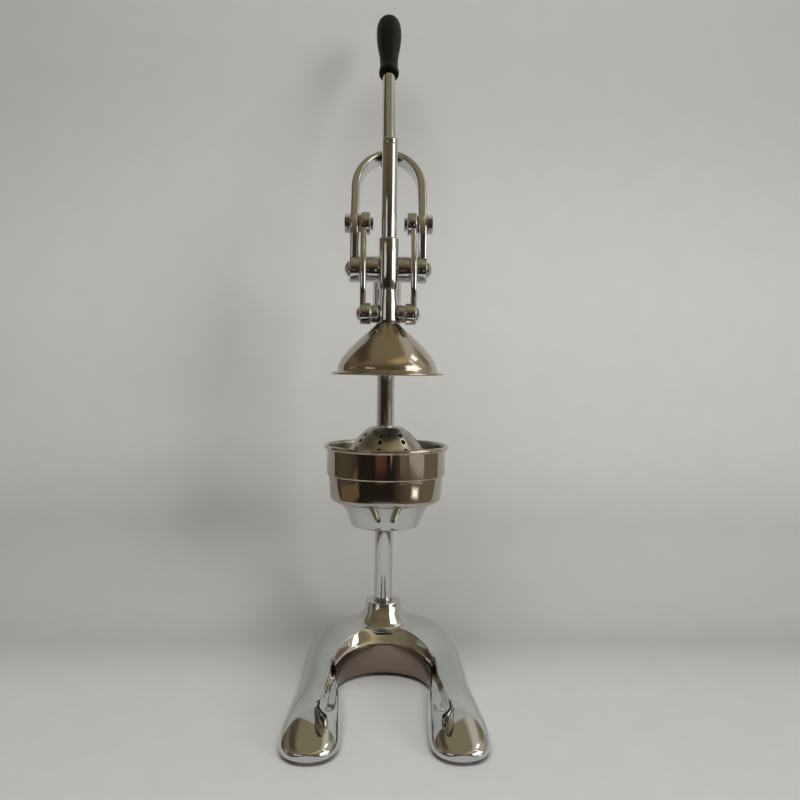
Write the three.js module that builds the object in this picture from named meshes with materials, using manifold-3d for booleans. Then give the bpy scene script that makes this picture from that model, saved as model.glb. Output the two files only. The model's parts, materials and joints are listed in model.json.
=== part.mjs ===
// Lever citrus juice press.
//
// A hollow cast base with two long feet carries a round steel column. A casting on top of the
// column, the head, holds a vertical guide sleeve in front and a cross tube with the main
// shaft. An arch-shaped lever turns on that shaft, with a long rod and a grip on its crown. Two
// curved links hang from the arms of the arch and push the plunger down: a press rod that
// slides in the sleeve, a tapered neck and a steel bell. Below the bell a bracket on the column
// holds a funnel cup, and the strainer with its perforated cone sits in the cup.
//
// Millimetres, +Z up, the feet point to -Y, and the lever leans back to +Y at rest.

import * as THREE from "three";
import { mergeVertices } from "three/addons/utils/BufferGeometryUtils.js";
import Module from "manifold-3d";

const wasm = await Module();
wasm.setup();

// Clearances
const seatGap = 0.3; // between two pieces that seat on each other
const slideGap = 0.3; // round a piece that slides or turns in a bore
const overrun = 3; // how far a cutter runs past the face that it opens
const weldTolerance = 0.0005; // points closer than this are one point

// Facets round a full turn
const bowlFacets = 32;
const ringFacets = 24;
const rodFacets = 18;
const smallFacets = 10;
const holeFacets = 6;

// Where the main lines lie: the press axis is the Z axis of this frame
const columnOffset = 80; // column axis behind the press axis
const pivotOffset = 19; // main pivot behind the press axis
const pivotHeight = 428; // main pivot above the table
const pinDrop = 46.4; // lower link pins below the main pivot at rest
const boltRise = 45.8; // upper link bolts above the main pivot at rest
const leverSwing = THREE.MathUtils.degToRad(145); // from rest to fully pressed

// Base casting
const padProud = 4; // rubber foot below the casting
const footInner = 45; // radius of the arch between the legs
const footCentre = -8; // centre of that arch, in front of the press axis
const legSwell = 2.2; // how far the middle of a leg swells into the gap
const legRoot = 46.5; // half gap between the legs at the arch
const rootHalfWidth = 84.8; // half width over both legs at the arch
const toeInset = 20.1; // centre line of a toe inside that half width
const toeCentre = rootHalfWidth - toeInset; // and from the middle plane
const toeHalfWidth = 26.6;
const toeReach = 113; // middle of the toe in front of the arch centre
const toeLength = 35; // from there to the tip
const backReach = 130; // back of the casting behind the arch centre
const backSpread = 1.2; // how much further each side stands out at the back
const backHalfWidth = rootHalfWidth + backSpread;
const backHeight = 51; // top of the casting beside the column
const legHeight = 34;
const toeHeight = 32.6; // where the top of a leg starts to fall towards the tip
const toeFall = 71; // and how far that is from the tip
const castingWall = 5;
const bossHeight = 71; // top of the column boss above the table
const bossRadius = 19.4;
const bossShoulder = 1.5; // chamfer of its top edge
const bossNeck = 8; // straight part below the top
const bossFootRadius = 42; // spread of the boss in front and at the sides
const bossBackRadius = 27; // and behind
const bossFootHeight = 34;
const frontPadOut = 8.3; // middle of a front rubber foot outside the toe's centre line
const frontPadAside = toeCentre + frontPadOut;
const frontPadAhead = 139;
const rearPadInset = 34; // middle of a rear rubber foot inside the half width
const rearPadAside = backHalfWidth - rearPadInset;
const rearPadBehind = 92;

// Rubber feet and their screws
const padRadius = 10.5;
const padSunk = 2; // depth of the seat in the casting
const padBore = 2.7;
const padChamfer = 1;
const padScrewRadius = 2.4;
const padHeadRadius = 4.6;
const padHeadHeight = 2.2;
const padHeadRecess = 3.4;
const padScrewLength = 10;
const padPostRadius = 13;

// Column with its bolt and washer
const columnRadius = 10;
const columnFoot = 14; // lower end above the table
const columnBoltRadius = 5;
const columnBoltDepth = 22;
const columnBoltHead = 8.6;
const columnBoltHeadHeight = 5;
const columnWasherRadius = 13;
const columnWasherHeight = 2;

// Head casting
const socketRadius = 15.6;
const socketTopAbove = 17; // top of the column socket above the main pivot
const socketBottomBelow = 33;
const socketRoof = 5;
const socketRounding = 3;
const socketFootRounding = 1.5;
const tubeRadius = 13.3; // cross tube
const bridgeWidth = 17;
const bridgeHeight = 25;
const bridgeTopShare = 0.62; // how far the top of the bridge sags on its way back
const bridgeBottomShare = 0.8;
const tubeChamfer = 0.6;
const sleeveRadius = 10;
const sleeveBelow = 22; // guide sleeve below the main pivot
const sleeveAbove = 28.6;
const sleeveRounding = 1.6; // top edge
const sleeveChamfer = 0.8; // bottom edge
const setScrewRadius = 3;
const setScrewKeyRadius = 2.5;
const setScrewHeadRadius = 5;
const setScrewHeadHeight = 4;
const setScrewChamfer = 0.6;

// Main shaft
const shaftRadius = 6;
const bushWall = 2;
const bushLength = 18;
const capRadius = 8;
const capHeight = 5.4;
const capRim = 1.4;
const shaftInCap = 2.4;

// Arch of the lever
const eyeInner = 28.3; // inner face of an arm eye from the middle plane
const eyeThickness = 10.7;
const eyeRadius = 13.8;
const eyeChamfer = 1;
const armThickness = 8.8;
const armOuterLow = 38.8; // outer face of an arm at the main pivot
const armOuterHigh = 38.9; // and where the crown starts
const archDepth = 18;
const archRounding = 3.2;
const crownThickness = 5.8;
const crownRise = 97.5; // top of the crown from the link bolts, along the lean
const crownLength = 52; // height of the curved part
const leanAngle = THREE.MathUtils.degToRad(32.5);
const bendRadius = 40;

// Lever rod and grip
const leverRodRadius = 7.3;
const leverRodLength = 203;
const leverRodChamfer = 1;
const studRadius = 6;
const studLength = 15;
const crownNutRadius = 10.4;
const crownNutHeight = 7.5;
const gripRadius = 14.9;
const gripLength = 102;
const gripSunk = 72; // rod inside the grip
const gripNeckRadius = 10.5;
const gripCollarRadius = 11.6;

// Link bolts in the arms
const boltRadius = 5;
const boltHeadRadius = 9.8;
const boltHeadHeight = 5.6;
const innerNutRadius = 7;
const innerNutHeight = 2.8;
const linkWasherRadius = 8.8;

// Links
const linkUpperRadius = 11.6;
const linkUpperInner = 18.6; // inner face from the middle plane
const linkUpperThickness = 9.6;
const linkLowerRadius = 10.9;
const linkLowerInner = 17.1;
const linkLowerThickness = 11.1;
const linkBarThickness = 6;
const linkBarWidth = 12;
const linkRounding = 2.2;
const linkClear = 1; // between a bar and the cross tube
const linkEyeChamfer = 1.2;
const pinRadius = 4;
const pinHeadRadius = 6.7;
const pinHeadHeight = 3.8;
const pinHeadRim = 1;

// Plunger
const pressRodRadius = 7.7;
const pressRodSunk = 22; // rod inside the neck
const pressRodTopAbove = 120.2; // top of the rod above the main pivot
const rodCapHeight = 6.2;
const rodCapRounding = 2;
const rodCapChamfer = 0.6;
const rodCapStud = 3;
const rodCapStudLength = 8;
const neckTopRadius = 8.6;
const neckRadius = 10.7;
const neckTaper = 14; // height of the tapered part
const taperTopShare = 0.4; // where the taper's curve leaves its top and its foot
const taperFootShare = 0.55;
const neckBelowPin = 9.4;
const neckBossRadius = 9.2;
const neckBossRounding = 1;
const grubRadius = 2.5;
const grubDrop = 6.2;
const grubAside = 13.6;
const grubLength = 5;
const grubProud = 0.6;
const grubKeyRadius = 1.3;
const grubKeyDepth = 1.7;

// Bell
const bellSheet = 1.5;
const bellRadius = 49.6;
const bellRimRadius = 56.3;
const bellHeight = 51;
const bellLip = 2.4;
const bellRoofRadius = 11.2;
const bellScrewRadius = 3;
const bellScrewHead = 6.5;
const bellScrewHeadHeight = 4;
const bellScrewDepth = 12;

// Strainer
const strainerSheet = 1.2;
const strainerRadius = 59.3;
const strainerRim = 62.7;
const strainerBandHeight = 30.4; // from the ledge to the top of the rolled rim
const strainerSkirt = 7; // part that reaches down inside the cup
const coneTopRadius = 15;
const coneBaseRadius = 51.5;
const coneRise = 48; // top of the cone above the ledge
const coneSlopeShare = 0.3; // share of the cone's height that falls evenly from top to foot
const coneFullness = 2.1; // how quickly the rest gets steeper towards the foot
const holeColumns = 8;
const holeRows = 4;
const holeRadius = 1.9;
const firstHoleOut = 24.6; // highest row from the middle of the cone
const holeTurn = -103; // degrees, turns one column of holes to just left of the front
const holePitch = 5.5; // outwards from row to row
const pressGap = 12; // between the cone and the bell screw, fully pressed

// Funnel cup
const cupSheet = 1.2;
const cupRadius = 57;
const cupFloorRadius = 55.4;
const cupHeight = 25.8;
const cupCorner = 5;
const spoutRadius = 14;
const spoutLength = 8;
const funnelDrop = 18;

// Cup bracket
const ringRadius = 46.5;
const ringBottomRadius = 34.3;
const ringHeight = 24.4;
const ringWall = 6;
const ringRounding = 2.6;
const ringFlare = 1; // how much wider the ring is just above its rounded bottom edge
const collarChamfer = 1.3;
const ringHollow = 3.4; // how far the outside of the taper is drawn in
const ringSeat = 2.4; // width of the flat seat round the funnel
const collarRadius = 16.5;
const bracketArmWidth = 20;
const bracketArmSpread = 30; // width where it meets the ring
const bracketArmWaist = 16;
const bracketArmHeight = 14;

// Finishes
const finish = (color, metalness, roughness) => ({ color, metalness, roughness });
const chrome = finish("#c4c7c8", 1, 0.08);
const polishedSteel = finish("#b4aca0", 1, 0.16);
const plainSteel = finish("#9a9a97", 1, 0.35);
const bronze = finish("#a8834a", 1, 0.4);
const blackPlastic = finish("#191b1a", 0, 0.5);
const blackRubber = finish("#141414", 0, 0.85);

// Worked out from the sizes above

const baseBottom = padProud;
const pinHeight = pivotHeight - pinDrop;
const linkLength = Math.hypot(pivotOffset, boltRise + pinDrop);
const boltAtEnd = {
  y: -boltRise * Math.sin(leverSwing),
  z: boltRise * Math.cos(leverSwing),
};
const reachAtEnd = Math.sqrt(linkLength ** 2 - (boltAtEnd.y + pivotOffset) ** 2);
const stroke = reachAtEnd - boltAtEnd.z - pinDrop;

const linkBarMiddle = linkUpperInner + linkUpperThickness - linkBarThickness / 2;
const neckTop = pivotHeight - sleeveBelow - seatGap;
const neckBottom = pinHeight - neckBelowPin;
const bellTop = neckBottom - seatGap;
const bellScrewTip = bellTop - bellSheet - seatGap - bellScrewHeadHeight;
const coneTop = bellScrewTip - stroke - pressGap;
const ledgeHeight = coneTop - coneRise;
const cupFloor = ledgeHeight - seatGap - cupHeight;
const ringTop = cupFloor - seatGap;

// Solids

// A three.js geometry as a solid that can be joined and cut.
function solid(geometry) {
  geometry.deleteAttribute("normal");
  geometry.deleteAttribute("uv");
  const welded = mergeVertices(geometry, weldTolerance);
  const mesh = new wasm.Mesh({
    numProp: 3,
    vertProperties: welded.attributes.position.array,
    triVerts: new Uint32Array(welded.index.array),
  });
  return new wasm.Manifold(mesh);
}

// A solid as a three.js geometry.
function geometryOf(made) {
  const mesh = made.getMesh();
  const geometry = new THREE.BufferGeometry();
  const position = new THREE.BufferAttribute(mesh.vertProperties, mesh.numProp);
  geometry.setAttribute("position", position);
  geometry.setIndex(new THREE.BufferAttribute(mesh.triVerts, 1));
  const flat = geometry.toNonIndexed();
  flat.computeVertexNormals();
  return flat;
}

const joined = (first, ...others) => others.reduce((all, one) => all.add(one), first);
const cut = (body, ...tools) => tools.reduce((left, tool) => left.subtract(tool), body);

// Points on an arc, from one angle to another in degrees, both ends included.
function arc(x, z, radius, from, to, steps) {
  return Array.from({ length: steps + 1 }, (_, i) => {
    const angle = THREE.MathUtils.degToRad(from + ((to - from) * i) / steps);
    return [x + radius * Math.cos(angle), z + radius * Math.sin(angle)];
  });
}

// A closed outline of [radius, height] points turned round the Z axis.
function turned(outline, facets) {
  const area = outline.reduce((sum, [r, z], i) => {
    const [nextR, nextZ] = outline[(i + 1) % outline.length];
    return sum + r * nextZ - nextR * z;
  }, 0);
  const ordered = area > 0 ? outline : [...outline].reverse();
  const loop = [...ordered, ordered[0]].map(([r, z]) => new THREE.Vector2(r, z));
  const geometry = new THREE.LatheGeometry(loop, facets);
  return solid(geometry.rotateX(Math.PI / 2));
}

// A rod along Z with chamfered ends.
function rod(radius, bottom, top, facets = rodFacets, chamfer = 0) {
  const outline = [[0, bottom]];
  outline.push([radius - chamfer, bottom]);
  if (chamfer > 0) outline.push([radius, bottom + chamfer], [radius, top - chamfer]);
  outline.push([radius - chamfer, top], [0, top]);
  return turned(outline, facets);
}

// A tube along Z.
function tube(outer, inner, bottom, top, facets = rodFacets, chamfer = 0) {
  const outline = [[inner, bottom]];
  outline.push([outer - chamfer, bottom]);
  if (chamfer > 0) outline.push([outer, bottom + chamfer], [outer, top - chamfer]);
  outline.push([outer - chamfer, top], [inner, top]);
  return turned(outline, facets);
}

// A hexagon along Z, its top edge turned to a cone as on a pressed bolt head.
function hexagon(cornerRadius, bottom, top) {
  const prism = new THREE.CylinderGeometry(cornerRadius, cornerRadius, top - bottom, 6);
  prism.rotateX(Math.PI / 2).translate(0, 0, (top + bottom) / 2);
  const flat = cornerRadius * Math.cos(Math.PI / 6);
  const chamfer = (cornerRadius - flat) / 2;
  const cone = rod(cornerRadius, bottom - chamfer, top, smallFacets, chamfer);
  return solid(prism).intersect(cone);
}

// Turns a solid that was made along Z so that it lies along X (side 1) or -X (side -1).
const alongX = (made, side = 1) => made.rotate([0, side * 90, 0]);

// Turns a solid that was made along Z so that it lies along Y.
const alongY = (made) => made.rotate([-90, 0, 0]);

// A closed skin over rings of points, each ring with the same count.
function lofted(rings) {
  const count = rings[0].length;
  const points = rings.flat();
  const faces = [];
  for (let r = 0; r + 1 < rings.length; r++) {
    for (let i = 0; i < count; i++) {
      const a = r * count + i;
      const b = r * count + ((i + 1) % count);
      faces.push(a, b, b + count, a, b + count, a + count);
    }
  }
  for (const [ring, start] of [[rings[0], 0], [rings.at(-1), (rings.length - 1) * count]]) {
    const middle = ring.reduce((sum, p) => sum.clone().add(p)).divideScalar(count);
    points.push(middle);
    const hub = points.length - 1;
    for (let i = 0; i < count; i++) {
      const a = start + i;
      const b = start + ((i + 1) % count);
      faces.push(...(start === 0 ? [b, a, hub] : [a, b, hub]));
    }
  }
  const volume = faces.reduce((sum, _, i) => {
    if (i % 3) return sum;
    const [a, b, c] = [points[faces[i]], points[faces[i + 1]], points[faces[i + 2]]];
    return sum + a.dot(new THREE.Vector3().crossVectors(b, c));
  }, 0);
  if (volume < 0) faces.reverse();
  const geometry = new THREE.BufferGeometry().setFromPoints(points);
  geometry.setIndex(faces);
  return solid(geometry);
}

// A rectangle with rounded corners as [across, along] points.
function roundedRectangle(width, height, radius, steps = 2) {
  const r = Math.min(radius, width / 2 - weldTolerance, height / 2 - weldTolerance);
  const [x, z] = [width / 2 - r, height / 2 - r];
  return [
    ...arc(x, z, r, 0, 90, steps),
    ...arc(-x, z, r, 90, 180, steps),
    ...arc(-x, -z, r, 180, 270, steps),
    ...arc(x, -z, r, 270, 360, steps),
  ];
}

// Base casting
//
// The casting is a horseshoe. Its cross-section is drawn between an inner and an outer foot
// point: a steep inner wall up to a ridge, and a broad top that rounds down to the outer edge.
// Stations of that section run from a toe along the leg and round the arch to the back.

const mix = (a, b, share) => a + (b - a) * share;
const ease = (share) => share * share * (3 - 2 * share);

// Points of the section: share of the way across, and share of the crest height.
const legSectionShares = [
  [0, 0], [-0.004, 0.3], [0.02, 0.6], [0.06, 0.78], [0.14, 0.92], [0.27, 1],
  [0.5, 0.98], [0.72, 0.85], [0.89, 0.6], [0.985, 0.3], [1, 0.12], [0.985, 0],
];
const backSectionShares = [
  [0, 0], [0, 0.3], [0, 0.58], [0.025, 0.7], [0.08, 0.82], [0.18, 0.94],
  [0.4, 1], [0.68, 1], [0.86, 0.88], [0.96, 0.62], [1, 0.28], [0.99, 0],
];
const toeBluntness = 2.3;
const backBluntness = 3.8;
const legSteps = 5;
const toeSteps = 5;
const archSteps = 6;
const sectionSteps = 11;
const hollowSteps = 5;
const toeStepPower = 1.4; // steps of the toe get closer together towards its tip
const tipWidthShare = 0.03;
const tipHeightShare = 0.05;
const rootBackShare = 0.4; // how far the section at the root of a leg is that of the back
const rootBlendShare = 0.33; // last stretch of the leg, over which it turns into that
const fullHeightShare = 0.74; // how far round the arch the casting has its full height

// Height of the middle of a leg: its top falls to the tip in a quarter of an ellipse.
function legCrest(y, height) {
  const fromTip = Math.min(1, (y - footCentre + toeReach + toeLength) / toeFall);
  return height * Math.max(Math.sqrt(1 - (1 - fromTip) ** 2), tipHeightShare);
}

// The stations of the left half, from the tip of the toe to the middle plane.
function leftStations(inset) {
  const stations = [];
  const middle = footCentre - toeReach;
  for (let i = 0; i <= toeSteps; i++) {
    const turn = (Math.PI / 2) * (1 - i / toeSteps) ** toeStepPower;
    const along = Math.sin(turn);
    const wide = (1 - along ** toeBluntness) ** (1 / toeBluntness);
    const half = Math.max(toeHalfWidth - inset, 0) * Math.max(wide, tipWidthShare);
    const y = middle - (toeLength - inset) * along;
    const height = legCrest(middle - toeLength * along, toeHeight);
    stations.push({
      inner: [-(toeCentre - half), y], outer: [-(toeCentre + half), y], height, back: 0,
    });
  }
  const toeInner = toeCentre - toeHalfWidth;
  const toeOuter = toeCentre + toeHalfWidth;
  for (let i = 1; i < legSteps; i++) {
    const share = i / legSteps;
    const y = mix(middle, footCentre, share);
    const waist = mix(toeInner, legRoot, share) - legSwell * Math.sin(Math.PI * share);
    const outer = mix(toeOuter, rootHalfWidth, ease(share));
    const height = legCrest(y, mix(toeHeight, legHeight, share));
    const back = Math.max(0, 1 - (1 - share) / rootBlendShare) * rootBackShare;
    stations.push({
      inner: [-(waist + inset), y], outer: [-(outer - inset), y], height, back,
    });
  }
  for (let i = 0; i <= archSteps; i++) {
    const share = i / archSteps;
    const angle = (Math.PI / 2) * share;
    const radius = mix(legRoot, footInner, share) + inset;
    const inner = [-radius * Math.cos(angle), footCentre + radius * Math.sin(angle)];
    const power = 2 / backBluntness;
    const wide = mix(rootHalfWidth, backHalfWidth, ease(share)) - inset;
    const outer = [
      -wide * Math.cos(angle) ** power,
      footCentre + (backReach - inset) * Math.sin(angle) ** power,
    ];
    const height = mix(legHeight, backHeight, ease(Math.min(1, share / fullHeightShare)));
    stations.push({ inner, outer, height, back: mix(rootBackShare, 1, ease(share)) });
  }
  return stations;
}

const lowestShare = 0.02; // lowest point of a section above its foot

// The ring of points of one station, standing on the bottom plane.
function sectionRing({ inner, outer, height, back }, bottom, drop, steps) {
  const top = Math.max(height - drop - baseBottom, weldTolerance);
  const control = legSectionShares.map(([across, up], i) => {
    const [backAcross, backUp] = backSectionShares[i];
    return new THREE.Vector3(mix(across, backAcross, back), mix(up, backUp, back), 0);
  });
  const curve = new THREE.CatmullRomCurve3(control);
  return curve.getPoints(steps).map(({ x, y }, i) => {
    const foot = i === 0 || i === steps;
    const z = foot ? bottom : baseBottom + top * Math.max(y, lowestShare);
    return new THREE.Vector3(mix(inner[0], outer[0], x), mix(inner[1], outer[1], x), z);
  });
}

// The horseshoe, drawn in by a wall thickness for the hollow under the casting.
function horseshoe(inset, bottom, drop, steps) {
  const left = leftStations(inset).map((s) => sectionRing(s, bottom, drop, steps));
  const mirror = (ring) => ring.map(({ x, y, z }) => new THREE.Vector3(-x, y, z));
  return lofted([...left, ...left.slice(0, -1).reverse().map(mirror)]);
}

const padPlaces = [
  ["front_left", -frontPadAside, -frontPadAhead],
  ["front_right", frontPadAside, -frontPadAhead],
  ["rear_left", -rearPadAside, rearPadBehind],
  ["rear_right", rearPadAside, rearPadBehind],
];

// Flare of the boss as points: share of the way out to its foot, and share of the height of the flare
const bossShares = [
  [0, 1], [0.07, 0.88], [0.24, 0.76], [0.49, 0.63], [0.7, 0.48], [0.87, 0.28], [1, 0],
];
const bossFacets = 22;

// The rings of the boss, from its foot inside the casting up to its neck.
function bossRings() {
  const ringAt = (out, z) => Array.from({ length: bossFacets }, (_, i) => {
    const angle = (2 * Math.PI * i) / bossFacets;
    const behind = Math.max(0, Math.sin(angle)) ** 2;
    const radius = mix(bossRadius, mix(bossFootRadius, bossBackRadius, behind), out);
    return new THREE.Vector3(radius * Math.cos(angle), radius * Math.sin(angle), z);
  });
  const flare = bossShares.map(([out, up]) =>
    ringAt(out, mix(bossFootHeight, bossHeight - bossNeck, up)));
  return [...flare, ringAt(0, bossFootHeight - castingWall), ringAt(0, baseBottom + seatGap)];
}

function baseCasting() {
  const outer = horseshoe(0, baseBottom, 0, sectionSteps);
  const hollow = horseshoe(castingWall, baseBottom - overrun, castingWall, hollowSteps);
  const top = rod(bossRadius, columnFoot, bossHeight, bossFacets, bossShoulder);
  const boss = joined(lofted(bossRings()), top).translate([0, columnOffset, 0]);
  const posts = padPlaces.map(([, x, y]) =>
    rod(padPostRadius, baseBottom, backHeight, holeFacets + 2).translate([x, y, 0]));
  const shell = joined(cut(outer, hollow), ...posts.map((post) => post.intersect(outer)), boss);
  const seats = padPlaces.map(([, x, y]) => {
    const seat = rod(padRadius + seatGap, baseBottom - overrun, baseBottom + padSunk, smallFacets);
    const bore = rod(padScrewRadius + seatGap, 0, screwTop + seatGap, holeFacets);
    return joined(seat, bore).translate([x, y, 0]);
  });
  const columnBore = rod(columnRadius + seatGap, columnFoot - seatGap, bossHeight + overrun);
  const boltBore = rod(columnBoltRadius + seatGap, 0, columnFoot + seatGap, smallFacets);
  const washerSeat = rod(columnWasherRadius + seatGap, 0, washerTop + seatGap);
  const bores = joined(columnBore, boltBore, washerSeat).translate([0, columnOffset, 0]);
  return cut(shell, ...seats, bores);
}

// Rubber feet, each held by a screw from below
const padHeight = padProud + padSunk - seatGap;
const screwTop = padHeadRecess + padScrewLength;

function rubberFoot() {
  const outline = [
    [padBore, padHeadRecess], [padHeadRadius + seatGap, padHeadRecess],
    [padHeadRadius + seatGap, 0], [padRadius - padChamfer, 0],
    [padRadius, padChamfer], [padRadius, padHeight], [padBore, padHeight],
  ];
  return turned(outline, smallFacets);
}

function footScrew() {
  const headBottom = padHeadRecess - seatGap - padHeadHeight;
  const head = rod(padHeadRadius, headBottom, padHeadRecess - seatGap, smallFacets);
  const shank = rod(padScrewRadius, headBottom + padHeadHeight / 2, screwTop, holeFacets);
  return head.add(shank);
}

// Column, with the bolt and washer that hold it down under the base
const washerTop = columnFoot - castingWall;
const columnTop = pivotHeight + socketTopAbove - socketRoof - seatGap;

function column() {
  const bar = rod(columnRadius, columnFoot, columnTop, rodFacets, seatGap);
  const tapped = rod(columnBoltRadius + seatGap, 0, columnFoot + columnBoltDepth, smallFacets);
  return cut(bar, tapped);
}

function columnWasher() {
  const bottom = washerTop - columnWasherHeight;
  return tube(columnWasherRadius, columnBoltRadius + seatGap, bottom, washerTop, rodFacets);
}

function columnBolt() {
  const seat = washerTop - columnWasherHeight - seatGap;
  const headBottom = Math.max(seat - columnBoltHeadHeight, seatGap);
  const head = hexagon(columnBoltHead, -seat, -headBottom).rotate([180, 0, 0]);
  const end = columnFoot + columnBoltDepth - seatGap;
  return head.add(rod(columnBoltRadius, (seat + headBottom) / 2, end, smallFacets));
}

// Head casting, drawn about the main pivot
function headCasting() {
  const behind = columnOffset - pivotOffset;
  const r = socketRounding;
  const socketOutline = [
    [0, -socketBottomBelow],
    ...arc(socketRadius - socketFootRounding, -socketBottomBelow + socketFootRounding,
      socketFootRounding, -90, 0, 2),
    ...arc(socketRadius - r, socketTopAbove - r, r, 0, 90, 3),
    [0, socketTopAbove],
  ];
  const socket = turned(socketOutline, rodFacets).translate([0, behind, 0]);
  const tubeHalf = eyeInner - seatGap;
  const cross = alongX(rod(tubeRadius, -tubeHalf, tubeHalf, rodFacets, tubeChamfer));
  const waist = bridgeHeight / 2;
  const bridge = new THREE.Shape();
  bridge.moveTo(0, waist);
  bridge.quadraticCurveTo(behind / 2, waist * bridgeTopShare, behind, socketTopAbove - socketRounding);
  bridge.lineTo(behind, -socketBottomBelow + socketRounding);
  bridge.quadraticCurveTo(behind / 2, -waist * bridgeBottomShare, 0, -waist);
  bridge.closePath();
  const web = new THREE.ExtrudeGeometry(bridge, {
    depth: bridgeWidth, bevelEnabled: false, curveSegments: 6,
  });
  web.translate(0, 0, -bridgeWidth / 2).rotateX(Math.PI / 2).rotateZ(Math.PI / 2);
  const columnBore = rod(columnRadius + seatGap, -socketBottomBelow - overrun,
    socketTopAbove - socketRoof).translate([0, behind, 0]);
  const shaftBore = alongX(rod(shaftRadius + slideGap + bushWall + seatGap,
    -tubeHalf - overrun, tubeHalf + overrun));
  const cradle = rod(sleeveRadius + seatGap, -eyeRadius * 2, eyeRadius * 2, rodFacets)
    .translate([0, -pivotOffset, 0]);
  const screwBore = alongY(rod(setScrewRadius + seatGap, behind, behind + socketRadius + overrun,
    smallFacets));
  return cut(joined(socket, cross, solid(web)), columnBore, shaftBore, cradle, screwBore);
}

function setScrew(seatRadius, wallRadius) {
  const head = rod(setScrewHeadRadius, wallRadius + seatGap,
    wallRadius + seatGap + setScrewHeadHeight, smallFacets, setScrewChamfer);
  const socket = hexagon(setScrewKeyRadius, wallRadius + setScrewHeadHeight / 2,
    wallRadius + setScrewHeadHeight + overrun);
  const shank = rod(setScrewRadius, seatRadius + seatGap, wallRadius + seatGap * 2, smallFacets);
  return alongY(cut(head.add(shank), socket));
}

function guideSleeve() {
  const bottom = -sleeveBelow;
  const outline = [
    [pressRodRadius + slideGap, bottom], [sleeveRadius - sleeveChamfer, bottom],
    [sleeveRadius, bottom + sleeveChamfer],
    ...arc(sleeveRadius - sleeveRounding, sleeveAbove - sleeveRounding, sleeveRounding, 0, 90, 3),
    [pressRodRadius + slideGap, sleeveAbove],
  ];
  return turned(outline, rodFacets);
}

// Main shaft, its bushes and its domed caps, along X
function shaftBush(side) {
  const end = eyeInner - seatGap * 2;
  return alongX(tube(shaftRadius + slideGap + bushWall, shaftRadius + slideGap,
    end - bushLength, end), side);
}

const eyeOuter = eyeInner + eyeThickness;

function mainShaft() {
  const half = eyeOuter + shaftInCap;
  return alongX(rod(shaftRadius, -half, half, rodFacets, seatGap));
}

// A domed head: a short rim and a shallow dome, hollow for the end of a shaft if asked.
function dome(radius, height, rim, bottom) {
  const rise = height - rim;
  const sphere = (radius ** 2 + rise ** 2) / (2 * rise);
  const half = THREE.MathUtils.radToDeg(Math.asin(radius / sphere));
  const centre = bottom + height - sphere;
  const crown = arc(0, centre, sphere, 90 - half, 90, 4);
  return turned([[0, bottom], [radius, bottom], ...crown.slice(0, -1), [0, bottom + height]],
    smallFacets + 4);
}

function shaftCap(side) {
  const seat = eyeOuter + seatGap;
  const bore = rod(shaftRadius + seatGap, seat - overrun, eyeOuter + shaftInCap + seatGap);
  return alongX(cut(dome(capRadius, capHeight, capRim, seat), bore), side);
}

// Arch of the lever, drawn about the main pivot
//
// The strap runs up from an eye, past the link bolt, bends back by the lean and closes in a
// half ellipse over the top. A distance up the arm is turned into a place on the bent line.

const bendStart = boltRise - bendRadius * Math.tan(leanAngle / 2);
const bendLength = bendRadius * leanAngle;
const crownTop = boltRise + crownRise
  - (2 * bendRadius * Math.tan(leanAngle / 2) - bendLength);

// The point at a height along the arm and a distance in front of its middle line.
function onArm(x, up, front) {
  const turn = THREE.MathUtils.clamp((up - bendStart) / bendRadius, 0, leanAngle);
  const past = Math.max(0, up - bendStart - bendLength);
  const low = Math.min(up, bendStart);
  const y = bendRadius * (1 - Math.cos(turn)) + past * Math.sin(leanAngle);
  const z = low + bendRadius * Math.sin(turn) + past * Math.cos(leanAngle);
  return new THREE.Vector3(x, y - front * Math.cos(turn), z + front * Math.sin(turn));
}

const armSteps = 7;
const crownSteps = 7;

// Middle line and thickness of the strap on the left half, from the eye to the crown.
function strapStations() {
  const stations = [];
  const shoulder = crownTop - crownLength;
  for (let i = 0; i < armSteps; i++) {
    const share = i / armSteps;
    const x = mix(armOuterLow, armOuterHigh, share) - armThickness / 2;
    const slope = (armOuterHigh - armOuterLow) / shoulder;
    stations.push({ x, up: shoulder * share, tilt: Math.atan(slope), thickness: armThickness });
  }
  for (let i = 0; i <= crownSteps; i++) {
    const share = i / crownSteps;
    const angle = (Math.PI / 2) * share;
    const thickness = mix(armThickness, crownThickness, ease(share));
    const [wide, tall] = [armOuterHigh - thickness / 2, crownLength - thickness / 2];
    const tilt = Math.atan2(wide * Math.sin(angle), tall * Math.cos(angle));
    stations.push({
      x: wide * Math.cos(angle), up: shoulder + tall * Math.sin(angle), tilt: -tilt, thickness,
    });
  }
  return stations;
}

function archLever() {
  const ring = ({ x, up, tilt, thickness }, side) =>
    roundedRectangle(thickness, archDepth, archRounding, 1).map(([across, front]) =>
      onArm(side * (x + across * Math.cos(tilt)), up - across * Math.sin(tilt), front));
  const stations = strapStations();
  const left = stations.map((s) => ring(s, -1));
  const right = stations.slice(0, -1).reverse().map((s) => ring(s, 1));
  const strap = lofted([...left, ...right]);
  const eye = rod(eyeRadius, eyeInner, eyeOuter, rodFacets, eyeChamfer);
  const shaftHole = alongX(rod(shaftRadius + seatGap, -eyeOuter - overrun, eyeOuter + overrun));
  const boltHole = alongX(rod(boltRadius + seatGap, -armOuterHigh - overrun,
    armOuterHigh + overrun)).translate([0, 0, boltRise]);
  const studHole = placedOnCrown(rod(studRadius + seatGap, -crownThickness - overrun, overrun));
  const arch = joined(strap, alongX(eye, -1), alongX(eye, 1));
  const nutSeat = placedOnCrown(rod(crownNutRadius + seatGap, -crownThickness - crownNutHeight,
    -crownThickness));
  return cut(arch, shaftHole, boltHole, studHole, nutSeat);
}

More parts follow.
